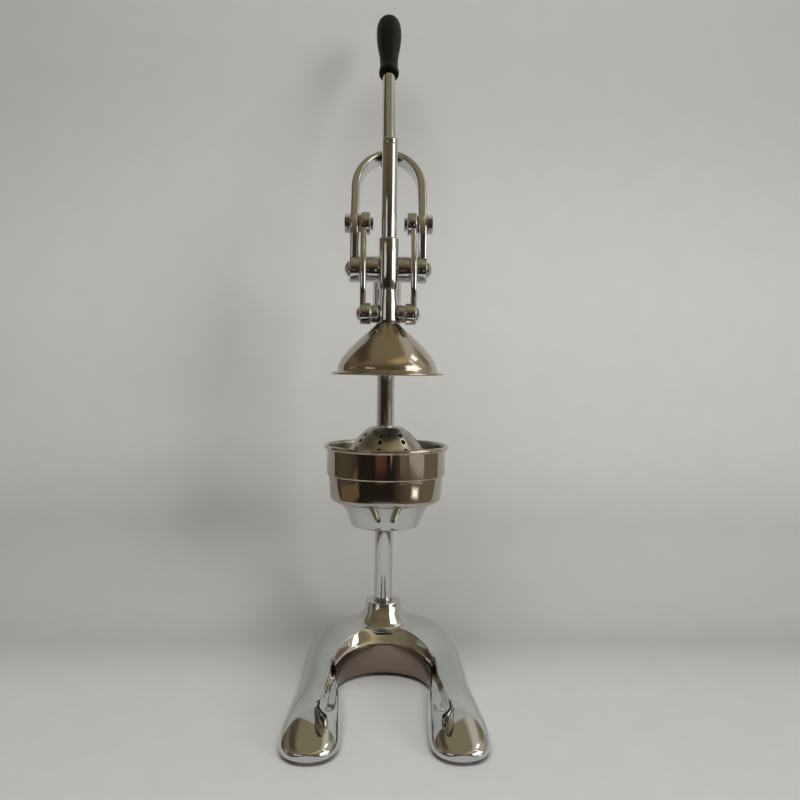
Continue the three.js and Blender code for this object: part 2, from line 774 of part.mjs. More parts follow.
// Moves a solid drawn about the top of the crown, with Z along the lever rod, to its place.
function placedOnCrown(made) {
  const top = onArm(0, crownTop, 0);
  return made.rotate([-THREE.MathUtils.radToDeg(leanAngle), 0, 0]).translate([0, top.y, top.z]);
}

function leverRod() {
  const bar = rod(leverRodRadius, seatGap, leverRodLength, rodFacets, leverRodChamfer);
  const stud = rod(studRadius, -studLength, seatGap * 2 + leverRodChamfer, rodFacets, seatGap);
  return placedOnCrown(bar.add(stud));
}

function crownNut() {
  const top = -crownThickness - seatGap;
  const nut = hexagon(crownNutRadius, -top, crownNutHeight - top).rotate([180, 0, 0]);
  return placedOnCrown(cut(nut, rod(studRadius + seatGap, -studLength - overrun, overrun)));
}

// Outline of the grip in shares of its length and of the radius named beside them
const gripShares = [
  [0, gripCollarRadius, 0.9], [0.012, gripCollarRadius, 1], [0.05, gripCollarRadius, 1],
  [0.075, gripNeckRadius, 1.03], [0.15, gripNeckRadius, 1], [0.3, gripNeckRadius, 1.04],
  [0.46, gripRadius, 0.87], [0.62, gripRadius, 0.975], [0.76, gripRadius, 1],
  [0.87, gripRadius, 0.94], [0.94, gripRadius, 0.77], [0.98, gripRadius, 0.5],
];

function grip() {
  const bottom = leverRodLength - gripSunk;
  const side = gripShares.map(([up, radius, share]) => [radius * share, bottom + gripLength * up]);
  const body = turned([[0, bottom], ...side, [0, bottom + gripLength]], rodFacets);
  const bore = rod(leverRodRadius + seatGap, bottom - overrun, leverRodLength + seatGap);
  return placedOnCrown(cut(body, bore));
}

// Link bolts with their spacers and thin nuts, drawn about the bolt line
function linkBolt(side) {
  const seat = armOuterAtBolt + seatGap;
  const head = hexagon(boltHeadRadius, seat, seat + boltHeadHeight);
  const inner = linkUpperInner - seatGap - innerNutHeight;
  const shank = rod(boltRadius, inner, seat + boltHeadHeight / 2, smallFacets, seatGap);
  return alongX(head.add(shank), side);
}

const armOuterAtBolt = mix(armOuterLow, armOuterHigh, boltRise / (crownTop - crownLength));
const armInnerAtBolt = armOuterAtBolt - armThickness;

function linkSpacer(side) {
  const from = linkUpperInner + linkUpperThickness + seatGap;
  return alongX(tube(linkWasherRadius, boltRadius + seatGap, from, armInnerAtBolt - seatGap,
    smallFacets), side);
}

function innerNut(side) {
  const top = linkUpperInner - seatGap;
  const nut = hexagon(innerNutRadius, -top, innerNutHeight - top).rotate([180, 0, 0]);
  return alongX(cut(nut, rod(boltRadius + seatGap, 0, top + overrun, smallFacets)), side);
}

// Links, drawn about the upper bolt line
//
// A link bows forward so that its bar stays clear of the cross tube behind it.

const linkFoot = new THREE.Vector2(-pivotOffset, -(boltRise + pinDrop));
const linkDirection = linkFoot.clone().normalize();
const chordFromPivot = Math.abs(linkDirection.x) * boltRise;
const linkBow = tubeRadius + linkClear + linkBarWidth / 2 - chordFromPivot;
const linkSteps = 6;

function link(side) {
  const normal = new THREE.Vector2(linkDirection.y, -linkDirection.x);
  const rings = [];
  for (let i = 0; i <= linkSteps; i++) {
    const share = i / linkSteps;
    const bow = linkBow * Math.sin(Math.PI * share);
    const slope = Math.atan((linkBow * Math.PI * Math.cos(Math.PI * share)) / linkLength);
    const centre = linkDirection.clone().multiplyScalar(linkLength * share)
      .addScaledVector(normal, bow);
    const across = normal.clone().rotateAround(new THREE.Vector2(), slope);
    rings.push(roundedRectangle(linkBarThickness, linkBarWidth, linkRounding, 1).map(([x, front]) =>
      new THREE.Vector3(side * (linkBarMiddle + x), centre.x + across.x * front,
        centre.y + across.y * front)));
  }
  const upper = alongX(rod(linkUpperRadius, linkUpperInner, linkUpperInner + linkUpperThickness,
    rodFacets - 4, linkEyeChamfer), side);
  const lower = alongX(rod(linkLowerRadius, linkLowerInner, linkLowerInner + linkLowerThickness,
    rodFacets - 4, linkEyeChamfer), side).translate([0, linkFoot.x, linkFoot.y]);
  const far = linkLowerInner + linkLowerThickness + overrun;
  const upperBore = alongX(rod(boltRadius + slideGap, 0, far, smallFacets), side);
  const lowerBore = alongX(rod(pinRadius + slideGap, 0, far, smallFacets), side)
    .translate([0, linkFoot.x, linkFoot.y]);
  return cut(joined(lofted(rings), upper, lower), upperBore, lowerBore);
}

function lowerPin(side) {
  const seat = linkLowerInner + linkLowerThickness + seatGap;
  const head = dome(pinHeadRadius, pinHeadHeight, pinHeadRim, seat);
  const shank = rod(pinRadius, linkLowerInner, seat + pinHeadRim, smallFacets);
  return alongX(head.add(shank), side).translate([0, linkFoot.x, linkFoot.y]);
}

// Plunger, drawn about the lower pin line
function neck() {
  const top = neckTop - pinHeight;
  const taper = new THREE.CubicBezierCurve(
    new THREE.Vector2(neckTopRadius, top),
    new THREE.Vector2(neckTopRadius, mix(top, top - neckTaper, taperTopShare)),
    new THREE.Vector2(neckRadius, mix(top, top - neckTaper, taperFootShare)),
    new THREE.Vector2(neckRadius, top - neckTaper),
  );
  const outline = [
    [0, -neckBelowPin], [neckRadius, -neckBelowPin],
    ...taper.getPoints(6).map((p) => [p.x, p.y]).reverse(), [0, top],
  ];
  const bossEnd = linkLowerInner - seatGap;
  const boss = alongX(rod(neckBossRadius, -bossEnd, bossEnd, rodFacets - 4, neckBossRounding));
  const rodBore = rod(pressRodRadius + seatGap, top - pressRodSunk, top + overrun);
  const screwBore = rod(bellScrewRadius + seatGap, -neckBelowPin - overrun,
    -neckBelowPin + bellScrewDepth, smallFacets);
  const grubBores = [-1, 1].map((side) => grubPlace(side,
    rod(grubRadius + seatGap, -grubLength - seatGap, overrun, smallFacets)));
  return cut(joined(turned(outline, rodFacets), boss), rodBore, screwBore, ...grubBores);
}

// A grub screw sits in the front of each side boss, square to the round of the boss.
function grubPlace(side, made) {
  const turn = Math.asin(grubDrop / neckBossRadius);
  const out = [side * grubAside, -neckBossRadius * Math.cos(turn), -neckBossRadius * Math.sin(turn)];
  return made.rotate([90 + THREE.MathUtils.radToDeg(turn), 0, 0]).translate(out);
}

function grubScrew(side) {
  const body = rod(grubRadius, -grubLength, grubProud, smallFacets, seatGap);
  const key = hexagon(grubKeyRadius, -grubKeyDepth, overrun);
  return grubPlace(side, cut(body, key));
}

function pressRod() {
  const bottom = neckTop - pinHeight - pressRodSunk + seatGap;
  const top = pinDrop + pressRodTopAbove;
  const bar = rod(pressRodRadius, bottom, top, rodFacets, seatGap);
  return cut(bar, rod(rodCapStud + seatGap, top - rodCapStudLength - seatGap, top + overrun,
    smallFacets));
}

function pressRodCap() {
  const bottom = pinDrop + pressRodTopAbove + seatGap;
  const outline = [
    [0, bottom - rodCapStudLength], [rodCapStud, bottom - rodCapStudLength],
    [rodCapStud, bottom], [pressRodRadius - rodCapChamfer, bottom],
    [pressRodRadius, bottom + rodCapChamfer],
    ...arc(pressRodRadius - rodCapRounding, bottom + rodCapHeight - rodCapRounding,
      rodCapRounding, 0, 90, 3),
    [0, bottom + rodCapHeight],
  ];
  return turned(outline, rodFacets);
}

// Outside of the bell in shares of its height and of the radius between roof and wall
const bellShares = [
  [0.02, 0.02], [0.16, 0.225], [0.32, 0.465], [0.48, 0.68], [0.64, 0.86], [0.81, 0.985],
];

function bell() {
  const top = bellTop - pinHeight;
  const side = bellShares.map(([down, out]) =>
    [mix(bellRoofRadius, bellRadius, out), top - bellHeight * down]);
  const inside = side.map(([r, z], i) => {
    const [nextR, nextZ] = side[Math.min(i + 1, side.length - 1)];
    const [lastR, lastZ] = side[Math.max(i - 1, 0)];
    const length = Math.hypot(nextR - lastR, nextZ - lastZ);
    return [r - ((lastZ - nextZ) / length) * bellSheet, z - ((nextR - lastR) / length) * bellSheet];
  });
  const bottom = top - bellHeight;
  const lip = bellLip / 2;
  const outline = [
    [bellScrewRadius + seatGap, top], ...side, [bellRadius + lip, bottom + bellLip],
    ...arc(bellRimRadius - lip, bottom + lip, lip, 60, -90, 3),
    [bellRadius + lip, bottom], [bellRadius - bellSheet, bottom + bellLip * 2],
    ...inside.reverse(), [bellScrewRadius + seatGap, top - bellSheet],
  ];
  return turned(outline, bowlFacets);
}

function bellScrew() {
  const seat = bellTop - bellSheet - seatGap - pinHeight;
  const head = hexagon(bellScrewHead, -seat, bellScrewHeadHeight - seat).rotate([180, 0, 0]);
  const end = -neckBelowPin + bellScrewDepth - seatGap;
  return head.add(rod(bellScrewRadius, seat - bellScrewHeadHeight / 2, end, smallFacets));
}

// Strainer, drawn about its ledge
//
// The cone is a dome of revolution from the flat top to the gutter, and the holes run in
// columns down its slope, each one square to the sheet.

// Radius and height of the outside of the cone at a share of the way down.
function conePoint(share) {
  const r = mix(coneTopRadius, coneBaseRadius, share);
  const floor = -strainerSkirt + strainerSheet;
  const z = mix(coneRise, floor, mix(share ** coneFullness, share, coneSlopeShare));
  return [r, z];
}

const coneSteps = 4;
const slopeStepShare = 0.01; // step over which the slope of the cone is read

function strainer() {
  const sheet = strainerSheet;
  const outside = Array.from({ length: coneSteps + 1 }, (_, i) => conePoint(i / coneSteps));
  const inside = outside.map(([r, z]) => [r - sheet, z - sheet]);
  const skirtRadius = cupInside(0) - seatGap;
  const skirtFoot = cupInside(strainerSkirt + seatGap) - seatGap;
  const lipRadius = (strainerRim - strainerRadius + sheet) / 2;
  const bandTop = strainerBandHeight - lipRadius;
  const outline = [
    [0, coneRise], ...outside,
    [skirtFoot - sheet * 2, -strainerSkirt + sheet], [skirtFoot - sheet, -strainerSkirt + sheet * 2],
    [skirtRadius - sheet, sheet], [strainerRadius - sheet, sheet * 2],
    ...arc(strainerRadius - sheet + lipRadius, bandTop, lipRadius, 180, -90, 4),
    [strainerRadius, bandTop - lipRadius], [strainerRadius, sheet],
    [strainerRadius - sheet, 0], [skirtRadius, 0],
    [skirtFoot, -strainerSkirt + sheet], [skirtFoot - sheet, -strainerSkirt],
    [inside.at(-1)[0], -strainerSkirt], ...inside.reverse(), [0, coneRise - sheet],
  ];
  const holes = [];
  for (let row = 0; row < holeRows; row++) {
    const out = firstHoleOut + holePitch * row;
    const share = (out - coneTopRadius) / (coneBaseRadius - coneTopRadius);
    const [r, z] = conePoint(share);
    const [nextR, nextZ] = conePoint(share + slopeStepShare);
    const tilt = THREE.MathUtils.radToDeg(Math.atan2(nextR - r, z - nextZ));
    for (let column = 0; column < holeColumns; column++) {
      const pin = rod(holeRadius, -overrun, overrun, holeFacets);
      holes.push(pin.rotate([0, 90 - tilt, 0]).translate([r, 0, z])
        .rotate([0, 0, (360 / holeColumns) * column + holeTurn]));
    }
  }
  return cut(turned(outline, bowlFacets), joined(...holes));
}

// Funnel cup, drawn about its floor

// Inside radius of the tapered wall at a depth below its top.
function cupInside(depth) {
  const wallLength = cupHeight - cupCorner;
  return mix(cupRadius, cupFloorRadius, depth / wallLength) - cupSheet;
}

function funnelCup() {
  const sheet = cupSheet;
  const r = cupCorner;
  const spoutBottom = -funnelDrop - spoutLength;
  const outline = [
    ...arc(cupFloorRadius - r, r, r, -90, 0, 3), [cupRadius, cupHeight],
    [cupRadius - sheet, cupHeight],
    ...arc(cupFloorRadius - r, r, r - sheet, 0, -90, 3), [funnelRadius, sheet],
    [spoutRadius, -funnelDrop], [spoutRadius, spoutBottom],
    [spoutRadius + sheet, spoutBottom], [spoutRadius + sheet, -funnelDrop],
    [funnelRadius + sheet, 0],
  ];
  return turned(outline, bowlFacets);
}

// Cup bracket, drawn about the top of its ring
const funnelRadius = ringRadius - ringWall - ringSeat;

function cupBracket() {
  const bottom = -ringHeight;
  const side = new THREE.QuadraticBezierCurve(
    new THREE.Vector2(ringRadius, 0),
    new THREE.Vector2((ringBottomRadius + ringRadius) / 2 - ringHollow, bottom / 2),
    new THREE.Vector2(ringBottomRadius + ringFlare, bottom + ringRounding),
  );
  const innerTop = funnelRadius + cupSheet + seatGap;
  const innerBottom = Math.max(ringBottomRadius - ringWall, spoutRadius + cupSheet + seatGap);
  const outline = [
    [innerTop, 0], ...side.getPoints(5).map((p) => [p.x, p.y]),
    ...arc(ringBottomRadius - ringRounding, bottom + ringRounding, ringRounding, -20, -90, 3),
    [innerBottom, bottom],
  ];
  const ring = turned(outline, ringFacets);
  const collar = rod(collarRadius, bottom, 0, rodFacets, collarChamfer)
    .translate([0, columnOffset, 0]);
  const half = bracketArmWidth / 2;
  const waist = bracketArmWaist / 2;
  const spread = bracketArmSpread / 2;
  const arm = new THREE.Shape();
  const start = ringBottomRadius - ringWall / 2;
  arm.moveTo(start, -spread);
  arm.quadraticCurveTo(ringRadius + ringWall, -waist, columnOffset, -half);
  arm.lineTo(columnOffset, half);
  arm.quadraticCurveTo(ringRadius + ringWall, waist, start, spread);
  arm.closePath();
  const beam = new THREE.ExtrudeGeometry(arm, {
    depth: bracketArmHeight, bevelEnabled: false, curveSegments: 6,
  });
  beam.rotateZ(Math.PI / 2).translate(0, 0, (bottom - bracketArmHeight) / 2);
  const inner = turned([
    [0, overrun], [innerTop, overrun], [innerTop, 0], [innerBottom, bottom],
    [innerBottom, bottom - overrun], [0, bottom - overrun],
  ], ringFacets);
  const columnBore = rod(columnRadius + seatGap, bottom - overrun, overrun)
    .translate([0, columnOffset, 0]);
  const screwBore = alongY(rod(setScrewRadius + seatGap, columnOffset,
    columnOffset + collarRadius + overrun, smallFacets)).translate([0, 0, bottom / 2]);
  return cut(joined(ring, collar, solid(beam)), inner, columnBore, screwBore);
}

// The assembly

const press = new THREE.Group();

function add(name, made, look, group) {
  const material = new THREE.MeshStandardMaterial(look);
  const mesh = new THREE.Mesh(geometryOf(made), material);
  mesh.name = name;
  group.add(mesh);
}

function groupAt(x, y, z) {
  const group = new THREE.Group();
  group.position.set(x, y, z);
  press.add(group);
  return group;
}

const sides = [["left", -1], ["right", 1]];

const frame = groupAt(0, 0, 0);
add("base", baseCasting(), chrome, frame);
for (const [place, x, y] of padPlaces) {
  const corner = groupAt(x, y, 0);
  add(`foot_pad_${place}`, rubberFoot(), blackRubber, corner);
  add(`foot_screw_${place}`, footScrew(), plainSteel, corner);
}

const columnLine = groupAt(0, columnOffset, 0);
add("column", column(), chrome, columnLine);
add("column_washer", columnWasher(), plainSteel, columnLine);
add("column_bolt", columnBolt(), plainSteel, columnLine);

const cupSeat = groupAt(0, 0, ringTop);
add("cup_bracket", cupBracket(), chrome, cupSeat);
const bracketScrewSeat = groupAt(0, columnOffset, ringTop - ringHeight / 2);
add("bracket_screw", setScrew(columnRadius, collarRadius), chrome, bracketScrewSeat);
const cupPlace = groupAt(0, 0, cupFloor);
add("funnel_cup", funnelCup(), polishedSteel, cupPlace);
const strainerPlace = groupAt(0, 0, ledgeHeight);
add("strainer", strainer(), polishedSteel, strainerPlace);

const pivot = groupAt(0, pivotOffset, pivotHeight);
add("head", headCasting(), chrome, pivot);
const headScrewSeat = groupAt(0, columnOffset, pivotHeight);
add("head_screw", setScrew(columnRadius, socketRadius), chrome, headScrewSeat);
const sleevePlace = groupAt(0, 0, pivotHeight);
add("guide_sleeve", guideSleeve(), chrome, sleevePlace);
for (const [side, sign] of sides) add(`pivot_bush_${side}`, shaftBush(sign), bronze, pivot);

const lever = groupAt(0, pivotOffset, pivotHeight);
add("arch", archLever(), chrome, lever);
add("main_shaft", mainShaft(), plainSteel, lever);
add("lever_rod", leverRod(), chrome, lever);
add("crown_nut", crownNut(), chrome, lever);
add("grip", grip(), blackPlastic, lever);
const boltLine = new THREE.Group();
boltLine.position.z = boltRise;
lever.add(boltLine);
for (const [side, sign] of sides) {
  add(`shaft_cap_${side}`, shaftCap(sign), chrome, lever);
  add(`link_bolt_${side}`, linkBolt(sign), chrome, boltLine);
  add(`link_spacer_${side}`, linkSpacer(sign), plainSteel, boltLine);
  add(`link_nut_${side}`, innerNut(sign), chrome, boltLine);
}

const links = groupAt(0, pivotOffset, pivotHeight + boltRise);
for (const [side, sign] of sides) {
  add(`link_${side}`, link(sign), chrome, links);
  add(`link_pin_${side}`, lowerPin(sign), chrome, links);
}

const plunger = groupAt(0, 0, pinHeight);
add("press_rod", pressRod(), chrome, plunger);
add("press_rod_cap", pressRodCap(), chrome, plunger);
add("neck", neck(), chrome, plunger);
for (const [side, sign] of sides) add(`neck_screw_${side}`, grubScrew(sign), plainSteel, plunger);
add("bell", bell(), polishedSteel, plunger);
add("bell_screw", bellScrew(), plainSteel, plunger);

// The part's own frame: on the table, in the middle of the space that it takes up
const extent = new THREE.Box3().setFromObject(press, true);
press.position.y = -(extent.min.y + extent.max.y) / 2;

const group = new THREE.Group();
group.add(press);

export default group;
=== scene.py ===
# %% [markdown]
# # A lever citrus juice press
#
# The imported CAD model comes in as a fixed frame: every part is already in its place, in metres,
# and moves with one of four bodies, the frame, the lever, the links and the plunger. This lesson
# dresses that frame. Each visible part gets a finely modelled piece that stands for it, with a
# finish that fits how the real part is made.

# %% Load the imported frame
import json
import math

import bmesh
import bpy
from mathutils import Matrix, Vector


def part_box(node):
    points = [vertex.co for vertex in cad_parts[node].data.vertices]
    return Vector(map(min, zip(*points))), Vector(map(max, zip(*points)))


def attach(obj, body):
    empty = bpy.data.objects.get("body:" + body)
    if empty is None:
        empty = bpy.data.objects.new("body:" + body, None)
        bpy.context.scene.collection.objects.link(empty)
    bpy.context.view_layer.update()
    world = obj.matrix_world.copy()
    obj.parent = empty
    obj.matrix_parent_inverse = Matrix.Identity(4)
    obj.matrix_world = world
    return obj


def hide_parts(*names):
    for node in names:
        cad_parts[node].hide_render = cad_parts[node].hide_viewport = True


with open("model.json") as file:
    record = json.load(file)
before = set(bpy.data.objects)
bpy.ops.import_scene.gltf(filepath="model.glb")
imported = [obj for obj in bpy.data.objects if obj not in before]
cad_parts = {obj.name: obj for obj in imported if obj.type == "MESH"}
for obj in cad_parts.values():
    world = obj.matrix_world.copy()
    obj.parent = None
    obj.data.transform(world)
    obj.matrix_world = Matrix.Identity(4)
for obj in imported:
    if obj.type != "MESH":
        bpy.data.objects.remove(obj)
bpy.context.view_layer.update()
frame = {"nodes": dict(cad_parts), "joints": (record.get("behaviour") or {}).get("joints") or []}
MM = 0.001

# %% [markdown]
# ## Main lines
#
# The press is laid out on a few lines: the press axis, on which rod, bell, strainer and cup
# stand, the column behind it, and the main pivot between the two. They are read from the frame,
# so that the pieces follow if the part is packed again with other sizes.

# %% Read the main lines
def span(node):
    """Lowest corner, highest corner and middle of a CAD part, in millimetres."""
    low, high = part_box(node)
    return low / MM, high / MM, (low + high) / 2 / MM


joints = {joint["name"]: joint for joint in frame["joints"]}
pivot = Vector(joints["lever_swing"]["pos_m"]) / MM
bolt_line = Vector(joints["link_swing"]["pos_m"]) / MM
press_y = span("press_rod")[2].y
column_y = span("column")[2].y
print("press axis y", round(press_y, 2), "column y", round(column_y, 2), "pivot", pivot)

# %% [markdown]
# ## Camera
#
# The photograph was taken from about the height of the bell's rim, a little to the left of the
# press. The camera's place and turns were found by matching the rods, the rims and the toes.
# It is made first, because it decides how fine each piece has to be.

# %% Make the camera
CAMERA_PLACE = Vector((-13.2, press_y - 800.0, 329.9)) * MM
YAW, PITCH, ROLL = (math.radians(turn) for turn in (1.89, 2.424, 0.78))
SENSOR_WIDTH = 36.0

ahead = Vector((math.sin(YAW) * math.cos(PITCH), math.cos(YAW) * math.cos(PITCH),
                -math.sin(PITCH)))
level = Vector((math.cos(YAW), -math.sin(YAW), 0))
upright = level.cross(ahead)
camera_right = level * math.cos(ROLL) + upright * math.sin(ROLL)
camera_up = upright * math.cos(ROLL) - level * math.sin(ROLL)

camera_data = bpy.data.cameras.new("camera")
camera_data.sensor_width = SENSOR_WIDTH
camera_data.lens = SENSOR_WIDTH  # the field of view is as wide as it is far away
camera_data.clip_start = 0.01
camera = bpy.data.objects.new("camera", camera_data)
turn = Matrix((camera_right, camera_up, -ahead)).transposed().to_4x4()
camera.matrix_world = Matrix.Translation(CAMERA_PLACE) @ turn
bpy.context.scene.collection.objects.link(camera)
bpy.context.scene.camera = camera
bpy.context.scene.view_settings.view_transform = "Standard"
print("camera at", [round(c, 3) for c in CAMERA_PLACE])

# %% [markdown]
# ## Finishes
#
# A material is a small graph of nodes. One function adds a node, sets it up and links it, and
# the others each add one kind of node with it. All patterns read Object coordinates, which are
# metres here, so a pattern of so many millimetres is the inverse of that length.

# %% Helpers for finishes
def linear(hex_colour):
    """An sRGB hex colour as the linear RGBA that Blender's sockets want."""
    channels = [int(hex_colour[i:i + 2], 16) / 255 for i in (1, 3, 5)]
    return [c / 12.92 if c <= 0.04045 else ((c + 0.055) / 1.055) ** 2.4
            for c in channels] + [1.0]


def add_node(tree, kind, inputs=None, **settings):
    """Adds a node. Settings are its properties, inputs are values or sockets to link."""
    node = tree.nodes.new("ShaderNode" + kind)
    for name, value in settings.items():
        setattr(node, name, value)
    for name, value in (inputs or {}).items():
        if isinstance(value, bpy.types.NodeSocket):
            tree.links.new(value, node.inputs[name])
        else:
            node.inputs[name].default_value = value
    return node


def new_material(name):
    """An empty material, its graph, and the Object coordinates in it."""
    material = bpy.data.materials.new(name)
    material.use_nodes = True
    tree = material.node_tree
    tree.nodes.clear()
    return material, tree, add_node(tree, "TexCoord").outputs["Object"]


def noise(tree, place, size_mm, **inputs):
    """A noise that changes about every so many millimetres."""
    inputs = {"Vector": place, "Scale": 1 / (size_mm * MM), **inputs}
    return add_node(tree, "TexNoise", inputs).outputs["Fac"]


def ranged(tree, value, start, end, low=0.0, high=1.0, **settings):
    """A value mapped from start and end to low and high, and held beyond them."""
    return add_node(tree, "MapRange", {
        "Value": value, "From Min": start, "From Max": end, "To Min": low, "To Max": high},
        **settings).outputs["Result"]


def sum_of(tree, operation, *values):
    """A sum done in the graph, such as "ADD", with numbers or sockets."""
    return add_node(tree, "Math", dict(enumerate(values)), operation=operation).outputs[0]


def blend(tree, colours, place):
    """A colour ramp between two colours."""
    ramp = add_node(tree, "ValToRGB", {"Fac": place})
    for element, colour in zip(ramp.color_ramp.elements, colours):
        element.color = linear(colour)
    return ramp.outputs["Color"]


def bumped(tree, height, strength, depth_mm, under=None):
    """A bump of so many millimetres, over another one if there is one."""
    inputs = {"Height": height, "Strength": strength, "Distance": depth_mm * MM}
    if under:
        inputs["Normal"] = under
    return add_node(tree, "Bump", inputs).outputs["Normal"]


def axes_of(tree, vector):
    return add_node(tree, "SeparateXYZ", {"Vector": vector}).outputs


def surfaced(tree, shader):
    add_node(tree, "OutputMaterial", {"Surface": shader.outputs[0]})


def principled(tree, colour, metallic, roughness, normal, **others):
    surfaced(tree, add_node(tree, "BsdfPrincipled", {
        "Base Color": colour, "Metallic": metallic, "Roughness": roughness, "Normal": normal,
        **others}))


# %% [markdown]
# ### Chromed castings
#
# The base, the head, the bracket and the neck are cast in zinc alloy, ground, polished and
# plated with bright chromium. The eye sees a mirror that is faintly wavy, because a polishing
# wheel never makes a casting quite flat, with a thin haze of handling where it was touched. The
# wheel doesn't reach the inner wall under the arch of the base, so the plating is rougher there;
# that wall's darker brown colour is painted shade under the arch.

# %% Chrome finishes
DRAWN_LINES_MM = 0.5  # coarser than real draw lines, so that they show
DRAWN_STRETCH = 0.01  # along Z


def chrome(name, colour, waviness_mm, wave_height_mm, haze, drawn=0.0):
    """Bright chromium: a wavy mirror with a changing haze, and draw lines along Z if asked."""
    material, tree, place = new_material(name)
    hazy = noise(tree, place, 9, Detail=4.0, Roughness=0.6)
    roughness = ranged(tree, hazy, 0.35, 0.7, *haze)
    waves = noise(tree, place, waviness_mm, Detail=1.0, Roughness=0.4)
    normal = bumped(tree, waves, 1.0, wave_height_mm)
    if drawn:
        stretched = add_node(tree, "Mapping", {
            "Vector": place, "Scale": (1.0, 1.0, DRAWN_STRETCH)}).outputs["Vector"]
        lines = noise(tree, stretched, DRAWN_LINES_MM, Detail=2.0)
        normal = bumped(tree, lines, drawn, 0.002, normal)
    principled(tree, linear(colour), 1.0, roughness, normal)
    return material


cast_chrome = chrome("chromed_zinc_casting", "#CDCFCF", 22, 0.05, (0.03, 0.09))
# Rougher haze for the less polished wall; its darker brown colour is painted shade
rough_chrome_painted_shade = chrome("rough_chromed_casting_painted_shade", "#94857A", 12, 0.04, (0.16, 0.22), drawn=0.3)
bar_chrome = chrome("chromed_drawn_steel", "#CFD0D0", 40, 0.02, (0.04, 0.09), drawn=0.5)
print("chrome finishes:", cast_chrome.name, rough_chrome_painted_shade.name, bar_chrome.name)

# %% [markdown]
# ### Spun stainless steel
#
# Bell, strainer and cup are spun from sheet on a lathe and polished on it, so the marks of the
# polish run round in rings. Steel is warmer and darker than chromium. The rings here are a noise
# that changes only with the distance along the wall: height plus distance from the press axis.
# Real polishing marks are under 0.1 mm apart; they are drawn at 0.6 mm so that they show.

# %% Spun steel finish
RINGS_MM = 0.6


def spun_steel(name, colour, haze):
    """Polished stainless steel with rings round the press axis."""
    material, tree, place = new_material(name)
    centred = add_node(tree, "Mapping", {
        "Vector": place, "Location": (0, -press_y * MM, 0)}).outputs["Vector"]
    x, y, z = axes_of(tree, centred)
    flat = add_node(tree, "CombineXYZ", {"X": x, "Y": y}).outputs["Vector"]
    radius = add_node(tree, "VectorMath", {0: flat}, operation="LENGTH").outputs["Value"]
    along = sum_of(tree, "ADD", z, radius)
    rings = add_node(tree, "TexNoise", {
        "W": along, "Scale": 1 / (RINGS_MM * MM), "Detail": 3.0},
        noise_dimensions="1D").outputs["Fac"]
    smears = noise(tree, centred, 14, Detail=3.0)
    principled(tree, linear(colour), 1.0, ranged(tree, smears, 0.3, 0.7, *haze),
               bumped(tree, rings, 0.6, 0.003))
    return material


spun = spun_steel("spun_stainless_steel", "#BDB5AA", (0.035, 0.09))
buffed = spun_steel("buffed_stainless_steel", "#BDB5AA", (0.09, 0.16))
satin = spun_steel("satin_stainless_steel", "#B2B0A6", (0.24, 0.32))
# Near black: painted shade for the shaded faces under the cone and inside the cup
dark_steel_painted_shade = spun_steel("dark_stainless_steel_painted_shade", "#2C2A27", (0.5, 0.6))
print("steel finishes:", spun.name, buffed.name, satin.name, dark_steel_painted_shade.name)

# %% [markdown]
# ### Small hardware, plastic and rubber
#
# Screws hidden from view are bright zinc over turned steel, and the bushes are sintered bronze.
# The grip is moulded ABS in satin black: its fine grain softens the sheen. The feet are moulded
# black rubber, duller and with a coarser skin.

# %% Grained finishes
DRIFT = 12  # the colour drifts over so many grains


def grained(name, colours, metallic, roughness, grain_mm, grain_height_mm, sheen=0.5):
    """A finish whose colour drifts between two close tones, over a fine grain."""
    material, tree, place = new_material(name)
    drift = noise(tree, place, grain_mm * DRIFT, Detail=3.0)
    grain = noise(tree, place, grain_mm, Detail=2.0)
    principled(tree, blend(tree, colours, drift), metallic, roughness,
               bumped(tree, grain, 1.0, grain_height_mm), **{"Specular IOR Level": sheen})
    return material


zinc = grained("bright_zinc_plated_steel", ("#9FA1A3", "#B4B6B6"), 1.0, 0.32, 0.8, 0.01)
bronze = grained("sintered_bronze", ("#8E6C3C", "#A98350"), 1.0, 0.45, 0.5, 0.01)
plastic = grained("moulded_abs_plastic", ("#040404", "#070708"), 0.0, 0.5, 0.7, 0.02, 0.25)
rubber = grained("moulded_rubber", ("#0C0C0C", "#161514"), 0.0, 0.8, 0.9, 0.04)
print("grained finishes:", zinc.name, bronze.name, plastic.name, rubber.name)
SLOT_FINISHES = {"chromed_casting": cast_chrome, "chromed_steel": bar_chrome, "zinc_steel": zinc,
                 "polished_stainless": spun, "grip_plastic": plastic, "foot_rubber": rubber}

# %% [markdown]
# ## Modelling helpers
#
# Nearly everything on this press is turned, so the main helper draws half of a cross-section as
# a wire, rounds its corners with a vertex bevel, and spins it. Points are millimetres: distance
# from the axis, height, and the rounding of that corner.

# %% Turn an outline
def chained(shape, corners, closed=False):
    """Edges from each corner to the next one."""
    following = corners[1:] + corners[:1] if closed else corners[1:]
    return [shape.edges.new(pair) for pair in zip(corners, following)]


def drawn_outline(points, closed):
    """A wire of (radius, height, rounding) points in the XZ plane."""
    shape = bmesh.new()
    corners = [shape.verts.new((point[0] * MM, 0, point[1] * MM)) for point in points]
    chained(shape, corners, closed)
    roundings = [point[2] if len(point) > 2 else 0 for point in points]
    for rounding in sorted(set(roundings) - {0}):
        rounded = [v for v, r in zip(corners, roundings) if r == rounding]
        bmesh.ops.bevel(shape, geom=rounded, offset=rounding * MM, offset_type="OFFSET",
                        affect="VERTICES", segments=5, profile=0.5, material=-1)
    return shape


def spin_round(shape, steps, merge):
    """Spins a wire round the Z axis and makes one of the points on the axis."""
    bmesh.ops.spin(shape, geom=shape.verts[:] + shape.edges[:], cent=(0, 0, 0), axis=(0, 0, 1),
                   angle=2 * math.pi, steps=steps, use_merge=True)
    bmesh.ops.remove_doubles(shape, verts=shape.verts, dist=merge * MM)


